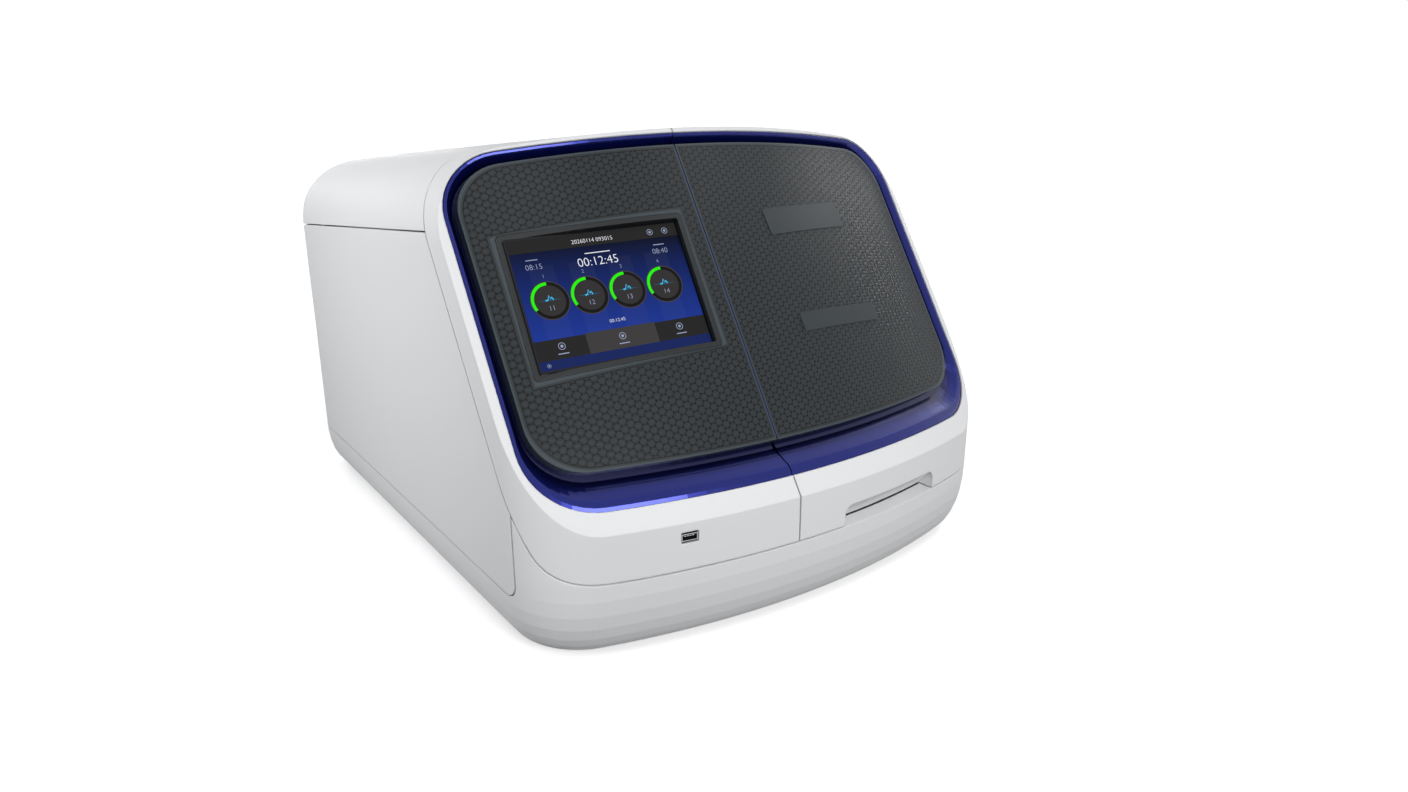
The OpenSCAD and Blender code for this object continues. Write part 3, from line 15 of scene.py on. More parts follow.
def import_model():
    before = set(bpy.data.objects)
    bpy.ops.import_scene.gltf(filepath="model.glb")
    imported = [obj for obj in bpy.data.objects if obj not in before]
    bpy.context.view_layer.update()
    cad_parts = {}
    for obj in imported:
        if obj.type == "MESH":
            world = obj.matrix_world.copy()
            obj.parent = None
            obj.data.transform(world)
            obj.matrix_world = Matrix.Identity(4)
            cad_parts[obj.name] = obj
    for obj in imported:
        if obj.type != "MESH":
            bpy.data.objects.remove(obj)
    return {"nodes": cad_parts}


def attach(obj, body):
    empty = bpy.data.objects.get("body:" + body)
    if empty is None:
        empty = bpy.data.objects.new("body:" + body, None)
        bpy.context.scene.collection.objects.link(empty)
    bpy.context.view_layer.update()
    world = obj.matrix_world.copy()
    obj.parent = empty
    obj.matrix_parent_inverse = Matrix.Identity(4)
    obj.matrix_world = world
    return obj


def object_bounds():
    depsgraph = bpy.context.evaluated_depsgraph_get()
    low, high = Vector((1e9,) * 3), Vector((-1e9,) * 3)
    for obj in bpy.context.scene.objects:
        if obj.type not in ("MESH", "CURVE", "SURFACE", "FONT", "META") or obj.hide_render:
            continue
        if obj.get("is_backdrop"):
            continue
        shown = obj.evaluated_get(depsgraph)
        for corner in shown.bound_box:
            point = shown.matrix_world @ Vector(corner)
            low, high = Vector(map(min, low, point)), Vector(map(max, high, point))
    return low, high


MM = 0.001
HOUSING = "housing"
MATH = "ShaderNodeMath"
RAMP = "ShaderNodeMapRange"
MIX = "ShaderNodeMix"
log = logging.getLogger("benchtop_sequencer")

Node = bpy.types.Node
NodeTree = bpy.types.NodeTree
NodeSocket = bpy.types.NodeSocket
Material = bpy.types.Material
Colour = tuple[float, float, float, float]
Point = tuple[float, float]
Point3 = tuple[float, float, float]
BLACK: Colour = (0.0, 0.0, 0.0, 1.0)
WHITE: Colour = (1.0, 1.0, 1.0, 1.0)


def srgb(code: str) -> Colour:
    """Turns an sRGB hex colour into linear RGBA.

    Args:
        code: colour such as "#E6E7E8".

    Returns:
        Linear red, green, blue and an alpha of 1.
    """
    parts = [int(code[i : i + 2], 16) / 255 for i in (1, 3, 5)]
    linear = [p / 12.92 if p <= 0.04045 else ((p + 0.055) / 1.055) ** 2.4 for p in parts]
    return (*linear, 1.0)


def shade(colour: Colour, share: float) -> Colour:
    """Scales a linear colour and keeps its alpha at 1."""
    return (*(part * share for part in colour[:3]), 1.0)


def add_node(tree: NodeTree, kind: str, inputs: dict | Sequence = (), **settings: object) -> Node:
    """Adds one shader node with its settings, values and links.

    Args:
        tree: node tree that takes the node.
        kind: node type name.
        inputs: what the inputs take, by socket name or index, or in their order. A socket is linked, a node is
            linked by its first output, and anything else is set as a value.
        **settings: properties of the node.

    Returns:
        The new node.
    """
    node = tree.nodes.new(kind)
    for key, value in settings.items():
        setattr(node, key, value)
    for key, value in inputs.items() if isinstance(inputs, dict) else enumerate(inputs):
        source = value.outputs[0] if isinstance(value, Node) else value
        if isinstance(source, NodeSocket):
            tree.links.new(source, node.inputs[key])
        else:
            node.inputs[key].default_value = source
    return node


class Texture(Enum):
    """Surface relief of a finish, or the painted shade of the channel."""

    SMOOTH = "smooth"
    MOULDED = "moulded"
    BRUSHED = "brushed"
    CELLS = "cells"
    # CHANNEL is no relief: it paints shade into the lacquer, darker towards the bottom of the channel.
    CHANNEL = "channel"


@dataclass(frozen=True)
class Finish:
    """One surface finish.

    Attributes:
        name: material name.
        colour: sRGB hex colour.
        metallic: share of metal.
        roughness: microsurface roughness.
        coat: weight of the clear coat.
        coat_roughness: roughness of the clear coat.
        texture: relief of the surface, or the painted shade of the channel.
        relief: height of the relief, in mm.
        edge: radius of the softened edges, in mm.
        glow: strength of the light it gives.
        specular: strength of the plain reflection.
        ior: index of refraction.
        variation: share by which the roughness wanders.
    """

    name: str
    colour: str
    metallic: float = 0.0
    roughness: float = 0.4
    coat: float = 0.0
    coat_roughness: float = 0.05
    texture: Texture = Texture.SMOOTH
    relief: float = 0.0
    edge: float = 0.0
    glow: float = 0.0
    specular: float = 0.5
    ior: float = 1.5
    variation: float = 0.06


def lit(name: str, colour: str, glow: float = 1.0) -> Finish:
    """Finish of a lit part of the display, which gives light and reflects next to none."""
    return Finish(name, colour, glow=glow, specular=0.06)


FINISHES = {
    finish.name: finish
    for finish in (
        # Painted ABS covers, sprayed satin: an even soft sheen that brightens on the rounded edges.
        Finish("abs_painted_white", "#EAEBEC", roughness=0.52, specular=0.18, ior=1.54,
               texture=Texture.MOULDED, relief=0.01, edge=1.6),
        # Moulded polycarbonate with a fine cell texture: charcoal cells between grooves darkened by painted
        # shade, and a painted highlight along the edges.
        Finish("polycarbonate_celled", "#1D2225", roughness=0.34, specular=0.18, ior=1.58,
               texture=Texture.CELLS, relief=0.35, edge=0.5),
        # Smooth moulded polycarbonate round the screen: a narrow highlight on its edge.
        Finish("polycarbonate_smooth", "#1B1F21", roughness=0.34, specular=0.25, ior=1.58, edge=0.6),
        # Bare polyester film plates: flat, a little lighter than the panel under them.
        Finish("polyester_plate", "#33393C", roughness=0.34, specular=0.16, ior=1.6, edge=0.3),
        # Blue metallic lacquer over ABS: deep colour, thin bright lines along the lips, and painted shade that
        # darkens it towards the bottom of the channel.
        Finish("lacquer_blue", "#101C70", metallic=0.7, roughness=0.2, coat=0.25,
               texture=Texture.CHANNEL, edge=0.5),
        # Blue ABS seal strip in the seam: the lacquer's colour, duller.
        Finish("abs_blue_strip", "#1A1F80", metallic=0.3),
        # Cover glass with black print behind it: near black, sharp gloss.
        Finish("cover_glass_black", "#05070C", roughness=0.08, specular=0.3, ior=1.52),
        # Galvanised sheet steel, rolled: grey metal with faint lines along the roll.
        Finish("galvanised_sheet", "#A9ADB0", metallic=0.85, roughness=0.42,
               texture=Texture.BRUSHED, relief=0.006),
        # Ground steel: bright, tight highlights.
        Finish("ground_steel", "#C9CCCE", metallic=1.0, roughness=0.2),
        # Milled aluminium: pale metal with fine tool lines and soft edges.
        Finish("milled_aluminium", "#B4B8BB", metallic=0.9, roughness=0.35,
               texture=Texture.BRUSHED, relief=0.005, edge=0.3),
        # Moulded grey ABS liners: matt, a light spark grain.
        Finish("abs_moulded_grey", "#C3C7CA", roughness=0.5, ior=1.54,
               texture=Texture.MOULDED, relief=0.012, edge=0.5),
        # Moulded black nylon: matt black with a soft grey sheen.
        Finish("nylon_black", "#1E2022", roughness=0.45, ior=1.53,
               texture=Texture.MOULDED, relief=0.01, edge=0.4),
        # Silicone rubber: dull black, no clear highlight.
        Finish("silicone_black", "#1A1B1C", roughness=0.75, ior=1.41,
               texture=Texture.MOULDED, relief=0.02, edge=0.3),
        # Natural polypropylene labware: milky, a waxy sheen.
        Finish("polypropylene_natural", "#E9EDEE", roughness=0.28, coat=0.2, ior=1.49, edge=0.3),
        # Moulded slate ABS of the cartridge: matt, soft edges.
        Finish("abs_moulded_slate", "#3C474F", roughness=0.42, ior=1.54,
               texture=Texture.MOULDED, relief=0.012, edge=1.0),
        # Moulded blue ABS grip: clear colour, soft gloss.
        Finish("abs_moulded_blue", "#4F8FBC", roughness=0.35, ior=1.54, edge=0.8),
        # Green solder mask over glass and epoxy board: thin glossy coat.
        Finish("solder_mask_green", "#1D6A43", roughness=0.35, coat=0.3, ior=1.55),
        # Lit display behind glass: light only, so that it keeps its colours in any room.
        lit("ui_bar", "#232222"),
        lit("ui_bar_light", "#3C3A3A"),
        lit("ui_strip", "#12225C"),
        lit("ui_ring_dark", "#101010"),
        lit("ui_ring_rim", "#453E38"),
        lit("ui_dial", "#312F30"),
        lit("ui_green", "#22EA00", glow=1.1),
        lit("ui_cyan", "#46B8E8"),
        lit("ui_cyan_dim", "#1D566F"),
        lit("ui_white", "#F2F5FA"),
        lit("ui_pale", "#98A3BE"),
        # Matt paper sweep that the object stands on: no sheen.
        Finish("paper_pale", "#F4F4F5", roughness=0.9),
    )
}


@dataclass(frozen=True)
class FacePlace:
    """Where the leaning face and the glass on it lie, in mm and degrees, as in the CAD part.

    Attributes:
        lean: lean of the face back from the upright.
        crease_y: depth of the crease under the face.
        crease_z: height of the crease.
        glass_x: middle of the glass across the face.
        glass_v: its middle up the face.
        glass_sink: its depth behind the crown of the face.
        glass_turn: its turns about the slope and in its plane.
        glass_w: its width.
        glass_h: its height.
        bezel_w: width of the frame round the glass.
        panel_half_w: half width of the dark panels.
        panel_low: lower edge of the dark panels, up the face.
        panel_high: upper edge of the dark panels, up the face.
        panel_corner_r: corner radius of the dark panels.
        level_bow_r: radius of the level lower edge, drawn on the face.
        bow_r: radius of the face across the slope.
        seam_x: place of the upright seam.
    """

    lean: float = 33.0
    crease_y: float = -302.5
    crease_z: float = 109.0
    glass_x: float = -128.7
    glass_v: float = 200.6
    glass_sink: float = 18.6
    glass_turn: Point = (-6.0, -1.3)
    glass_w: float = 152.0
    glass_h: float = 112.0
    bezel_w: float = 4.8
    panel_half_w: float = 228.0
    panel_low: float = 50.8
    panel_high: float = 323.6
    panel_corner_r: float = 43.0
    level_bow_r: float = 1307.3
    bow_r: float = 849.0
    seam_x: float = -30.0

    def up_slope(self) -> float:
        """Place of the crease along the slope, from the part's origin, in mm."""
        lean = math.radians(self.lean)
        return self.crease_y * math.sin(lean) + self.crease_z * math.cos(lean)

    def out_of_face(self) -> float:
        """Place of the face's crown along its outward direction, from the part's origin, in mm."""
        lean = math.radians(self.lean)
        return self.crease_z * math.sin(lean) - self.crease_y * math.cos(lean)

    def glass(self) -> Matrix:
        """Frame on the middle of the glass: X across, Y up, Z outward, in metres.

        Returns:
            The matrix from that frame to the part's frame.
        """
        face = Matrix.Translation(Vector((0, self.crease_y, self.crease_z)) * MM)
        face = face @ Matrix.Rotation(math.radians(90 - self.lean), 4, "X")
        spot = Matrix.Translation(Vector((self.glass_x, self.glass_v, -self.glass_sink)) * MM)
        yaw, roll = map(math.radians, self.glass_turn)
        return face @ spot @ Matrix.Rotation(yaw, 4, "Y") @ Matrix.Rotation(roll, 4, "Z")


@dataclass(frozen=True)
class CellPattern:
    """The dark panels' moulded pattern: small six-sided cells with an inner ring, inside a smooth border.

    A cell is where the sum of three waves is high. A pair is the start and end of a ramp. Sizes are in mm.
    The colour holds painted shade in the grooves, the ring and the dark line, and a painted highlight on the
    rim.

    Attributes:
        pitch: distance between the middles of two cells.
        turns: directions of the three waves, in degrees.
        groove: sums of the waves from the groove's floor to the cell's top.
        ring: sum of the waves along the ring.
        ring_side: differences from that sum, from the ring's floor to the cell's top.
        ring_floor: height of the ring's floor, as a share of the cell's.
        border: distances from an edge over which the smooth border ends.
        line: distance of the dark line from an edge; the line is a groove darkened by painted shade.
        line_side: distances from its middle over which that line ends.
        rim: distances from an edge over which the pale rim, a painted highlight, ends.
        seam_half: half width of the upright seam.
        seam_squeeze: how much narrower the border is along the seam.
        tones: shares of the colour in the grooves (painted shade), on the cells and on the rim (painted
            highlight).
    """

    pitch: float = 6.4
    turns: tuple[float, ...] = (0, 60, 120)
    groove: Point = (-1.02, -0.7)
    ring: float = 0.9
    ring_side: Point = (0.12, 0.3)
    ring_floor: float = 0.2
    border: Point = (3.3, 3.1)
    line: float = 3.4
    line_side: Point = (0.2, 0.4)
    rim: Point = (1.6, 1.1)
    seam_half: float = 0.6
    seam_squeeze: float = 1.4
    tones: Point3 = (0.04, 2.0, 4.0)


@dataclass
class Surface:
    """One finish that is being built as a node tree.

    A real spark grain is about 0.1 mm across and real roll and tool lines are about 0.2 mm apart. Both are
    drawn coarser here, so that they show. Sizes are in mm.

    Attributes:
        finish: the finish.
        tree: its node tree.
        shader: its main shader.
        place: socket with the object's coordinates.
        face: where the leaning face lies.
        pattern: the dark panels' pattern.
        patch: size of the patches over which the roughness wanders.
        grain: size of the moulded grain.
        line_length: length of the roll and tool lines.
        line_gap: distance between them.
        channel_depths: depths under the face over which painted shade darkens the lacquer.
        channel_tone: share of the colour that the painted shade leaves at the bottom of the channel.
    """

    finish: Finish
    tree: NodeTree
    shader: Node
    place: NodeSocket
    face: FacePlace = FacePlace()
    pattern: CellPattern = CellPattern()
    patch: float = 111.0
    grain: float = 0.714
    line_length: float = 25.0
    line_gap: float = 1.11
    channel_depths: Point = (5.5, 11.0)
    channel_tone: float = 0.3

    def build(self) -> None:
        """Lets the roughness wander a little, and adds the soft edges and the relief, or the painted shade of
        the channel.
        """
        noise = add_node(self.tree, "ShaderNodeTexNoise", {
            "Vector": self.place, "Scale": 1 / (self.patch * MM), "Detail": 3.0})
        rough, share = self.finish.roughness, self.finish.variation
        spread = add_node(self.tree, RAMP, {
            "Value": noise, "To Min": rough * (1 - share), "To Max": rough * (1 + share)})
        self.tree.links.new(spread.outputs["Result"], self.shader.inputs["Roughness"])
        normal = {}
        if self.finish.edge:
            radius = self.finish.edge * MM
            normal["Normal"] = add_node(self.tree, "ShaderNodeBevel", {"Radius": radius}, samples=6)
        height = self.relief()
        if height is not None:
            bump = {"Distance": self.finish.relief * MM, "Height": height}
            normal = {"Normal": add_node(self.tree, "ShaderNodeBump", bump | normal)}
        if normal:
            self.tree.links.new(normal["Normal"].outputs["Normal"], self.shader.inputs["Normal"])

    def relief(self) -> Node | None:
        """Adds the height field of the finish, or paints the channel's shade into its colour.

        Returns:
            The node that gives the height, or None for a smooth finish and for the channel's painted shade.
        """
        texture = self.finish.texture
        if texture is Texture.MOULDED:
            return add_node(self.tree, "ShaderNodeTexNoise", {
                "Vector": self.place, "Scale": 1 / (self.grain * MM), "Detail": 2.0})
        if texture is Texture.BRUSHED:
            along, between = 1 / (self.line_length * MM), 1 / (self.line_gap * MM)
            stretch = add_node(self.tree, "ShaderNodeMapping", {
                "Vector": self.place, "Scale": (along, between, between)})
            return add_node(self.tree, "ShaderNodeTexNoise", {"Vector": stretch, "Scale": 1.0, "Detail": 3.0})
        if texture is Texture.CELLS:
            return self.cells()
        if texture is Texture.CHANNEL:
            self.channel()
        return None

    def on_face(self) -> tuple[Node, Node]:
        """Turns the object's coordinates into mm on the leaning face: across, up the slope and outward.

        Returns:
            The node that gives the place, and one that gives its three parts.
        """
        lay = add_node(self.tree, "ShaderNodeMapping", {
            "Vector": self.place, "Location": (0.0, -self.face.up_slope(), -self.face.out_of_face()),
            "Rotation": (math.radians(self.face.lean - 90), 0, 0), "Scale": (1 / MM,) * 3})
        return lay, add_node(self.tree, "ShaderNodeSeparateXYZ", (lay,))

    def channel(self) -> None:
        """Paints shade into the lacquer: darker towards the bottom of the channel round the dark panels, where
        shade falls.
        """
        tree, colour = self.tree, srgb(self.finish.colour)
        axes = self.on_face()[1].outputs
        square = add_node(tree, MATH, (axes["X"], axes["X"]), operation="MULTIPLY")
        bow = add_node(tree, MATH, (square, 2 * self.face.bow_r), operation="DIVIDE")
        height = add_node(tree, MATH, (axes["Z"], bow), operation="ADD")
        depth = add_node(tree, MATH, (0.0, height), operation="SUBTRACT")
        # painted shade: the deeper in the channel, the darker the lacquer
        mix = add_node(tree, MIX, {
            "Factor": add_node(tree, RAMP, (depth, *self.channel_depths)),
            6: colour, 7: shade(colour, self.channel_tone)}, data_type="RGBA")
        tree.links.new(mix.outputs[2], self.shader.inputs["Base Color"])

    def cells(self) -> Node:
        """Adds the cells, laid out on the leaning face, with their smooth border, dark line and pale rim, and
        paints shade into the grooves and a highlight onto the rim.

        Returns:
            The node that gives the height.
        """
        tree, pattern, colour = self.tree, self.pattern, srgb(self.finish.colour)
        on_face, axes = self.on_face()
        rate = 2 * math.pi / (pattern.pitch * math.sin(math.radians(60)))
        total = 0.0
        for turn in map(math.radians, pattern.turns):
            course = (rate * math.cos(turn), rate * math.sin(turn), 0.0)
            along = add_node(tree, "ShaderNodeVectorMath", (on_face, course), operation="DOT_PRODUCT")
            wave = add_node(tree, MATH, (along.outputs["Value"],), operation="COSINE")
            total = add_node(tree, MATH, (total, wave), operation="ADD")
        inside = self.inside(axes.outputs)
        off = []
        for value, middle in ((total, pattern.ring), (inside, pattern.line)):
            gap = add_node(tree, MATH, (value, middle), operation="SUBTRACT")
            off.append(add_node(tree, MATH, (gap,), operation="ABSOLUTE"))
        groove = add_node(tree, RAMP, (total, *pattern.groove))
        ring = add_node(tree, RAMP, (off[0], *pattern.ring_side, pattern.ring_floor, 1.0))
        line = add_node(tree, RAMP, (off[1], *pattern.line_side))
        border = add_node(tree, RAMP, (inside, *pattern.border))
        rim = add_node(tree, RAMP, (inside, *pattern.rim))
        height = groove
        for operation, other in (("MULTIPLY", ring), ("MAXIMUM", border), ("MULTIPLY", line)):
            height = add_node(tree, MATH, (height, other), operation=operation)
        # painted light in the colour: shade in the grooves, the ring and the dark line, a highlight on the rim
        deep, plain, pale = (shade(colour, tone) for tone in pattern.tones)
        ground = add_node(tree, MIX, {"Factor": height, 6: deep, 7: plain}, data_type="RGBA")
        # painted highlight along the panels' outline, the seam and the screen's opening
        rim_highlighted = add_node(tree, MIX, {"Factor": rim, 6: ground.outputs[2], 7: pale}, data_type="RGBA")
        tree.links.new(rim_highlighted.outputs[2], self.shader.inputs["Base Color"])
        return height

    def inside(self, axes: bpy.types.NodeOutputs) -> Node:
        """Distance in from the dark panels' outline, from the seam between them and from the screen's opening.

        Args:
            axes: sockets with the three parts of the place on the face, in mm.

        Returns:
            The node that gives the distance, in mm.
        """
        face, pattern, corner = self.face, self.pattern, self.face.panel_corner_r
        known = {"x": axes["X"], "y": axes["Y"]}
        for name, operation, *values in (
                ("across", "ABSOLUTE", "x"), ("side", "SUBTRACT", face.panel_half_w, "across"),
                ("square", "MULTIPLY", "across", "across"), ("bow", "DIVIDE", "square", 2 * face.level_bow_r),
                ("low", "SUBTRACT", "y", face.panel_low), ("low", "SUBTRACT", "low", "bow"),
                ("high", "SUBTRACT", face.panel_high, "y"), ("level", "MINIMUM", "low", "high"),
                ("side", "SUBTRACT", corner, "side"), ("side", "MAXIMUM", "side", 0.0),
                ("side", "MULTIPLY", "side", "side"),
                ("level", "SUBTRACT", corner, "level"), ("level", "MAXIMUM", "level", 0.0),
                ("level", "MULTIPLY", "level", "level"),
                ("reach", "ADD", "side", "level"), ("reach", "POWER", "reach", 0.5),
                ("outline", "SUBTRACT", corner, "reach"),
                ("seam", "SUBTRACT", "x", face.seam_x), ("seam", "ABSOLUTE", "seam"),
                ("seam", "SUBTRACT", "seam", pattern.seam_half),
                ("seam", "MULTIPLY", "seam", pattern.seam_squeeze),
                ("wide", "SUBTRACT", "x", face.glass_x), ("wide", "ABSOLUTE", "wide"),
                ("wide", "SUBTRACT", "wide", face.glass_w / 2 + face.bezel_w),
                ("tall", "SUBTRACT", "y", face.glass_v), ("tall", "ABSOLUTE", "tall"),
                ("tall", "SUBTRACT", "tall", face.glass_h / 2 + face.bezel_w),
                ("screen", "MAXIMUM", "wide", "tall"),
                ("inside", "MINIMUM", "outline", "seam"), ("inside", "MINIMUM", "inside", "screen")):
            inputs = [known.get(value, value) for value in values]
            known[name] = add_node(self.tree, MATH, inputs, operation=operation)
        return known["inside"]


def empty_material(name: str) -> Material:
    """Makes a material whose node tree is empty.

    Args:
        name: material name.

    Returns:
        The material.
    """
    material = bpy.data.materials.new(name)
    material.use_nodes = True
    material.node_tree.nodes.clear()
    return material


@dataclass
class FinishLibrary:
    """Builds each finish once, as a procedural material.

    Attributes:
        made: the materials so far, by name.
    """

    made: dict[str, Material] = field(default_factory=dict)

    def get(self, name: str) -> Material:
        """Gives the material of a finish, which is built when first asked for.

        Args:
            name: name of the finish.

        Returns:
            The material.
        """
        if name not in self.made:
            self.made[name] = self.build(FINISHES[name])
        return self.made[name]

    def build(self, finish: Finish) -> Material:
        """Builds the material of one finish.

        Args:
            finish: the finish.

        Returns:
            The new material.
        """
        material = empty_material(finish.name)
        tree = material.node_tree
        colour = srgb(finish.colour)
        shader = add_node(tree, "ShaderNodeBsdfPrincipled", {
            "Base Color": BLACK if finish.glow else colour,
            "Metallic": finish.metallic, "Roughness": finish.roughness,
            "Coat Weight": finish.coat, "Coat Roughness": finish.coat_roughness,
            "Specular IOR Level": finish.specular, "IOR": finish.ior,
            "Emission Color": colour, "Emission Strength": finish.glow})
        add_node(tree, "ShaderNodeOutputMaterial", {"Surface": shader})
        if not finish.glow:
            place = add_node(tree, "ShaderNodeTexCoord").outputs["Object"]
            Surface(finish, tree, shader, place).build()
        return material


def new_object(name: str, data: bpy.types.ID) -> bpy.types.Object:
    """Makes an object in the scene.

    Args:
        name: its name.
        data: the mesh, curve, light or camera that it holds.

    Returns:
        The object.
    """
    thing = bpy.data.objects.new(name, data)
    bpy.context.scene.collection.objects.link(thing)
    return thing


def riding_piece(name: str, mesh: bpy.types.Mesh, material: Material) -> None:
    """Makes a piece of a mesh, dresses it and lets it ride on the housing."""
    mesh.materials.append(material)
    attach(new_object(name, mesh), HOUSING)


def mesh_of(name: str, verts: Sequence[Vector], faces: Sequence[Sequence[int]]) -> bpy.types.Mesh:
    """Makes a mesh.

    Args:
        name: its name.
        verts: its corners, in metres.
        faces: its faces.

    Returns:
        The mesh.
    """
    mesh = bpy.data.meshes.new(name)
    mesh.from_pydata(verts, [], faces)
    mesh.update()
    return mesh


def polar(centre: Point, radius: float, angle: float) -> Point:
    """Point at a radius and an angle, in degrees, about a centre."""
    turn = math.radians(angle)
    return centre[0] + radius * math.cos(turn), centre[1] + radius * math.sin(turn)


class Layer(Enum):
    """Heights of the screen's drawing over the glass, in mm."""

    FIELD = 0.08
    BANDS = 0.12
    BARS = 0.16
    MIDDLE_BAR = 0.18
    DIALS = 0.2
    ARCS = 0.26
    MARKS = 0.3


@dataclass(frozen=True)
class DialShape:
    """Shape of a round dial. Lengths without a unit are shares of its radius.

    Attributes:
        radius: its radius, in mm.
        rings: inner and outer edge and finish of each ring, by its name.
        arc: inner and outer edge of the green arc.
        arc_turns: where the arc ends and starts, in degrees.
        line_half: half length of the base line.
        line_heights: heights of the base line's ends, foot and top over the middle, in mm.
        peak: outline of the peak on the base line.
        peak_under: width of the outline under it, as a share of its own, and how far that lies under it.
        number: depth of the number under the middle, and height of its digits in mm.
        label: place of the label down the screen, and height of its digit in mm.
    """

    radius: float = 16.2
    rings: tuple[tuple[str, float, float, str], ...] = (
        ("rim", 0.955, 1.0, "ui_ring_rim"), ("track", 0.79, 0.955, "ui_ring_dark"),
        ("face", 0.0, 0.79, "ui_dial"))
    arc: Point = (0.80, 0.95)
    arc_turns: Point = (88, 208)
    line_half: float = 0.66
    line_heights: Point3 = (0.5, -0.25, 1.0)
    peak: tuple[Point, ...] = ((-0.26, 0.04), (-0.1, 0.08), (-0.02, 0.3), (0.05, 0.12), (0.12, 0.2), (0.2, 0.05))
    peak_under: Point = (0.8, 0.07)
    number: Point = (0.4, 4.3)
    label: Point = (0.3, 3.2)


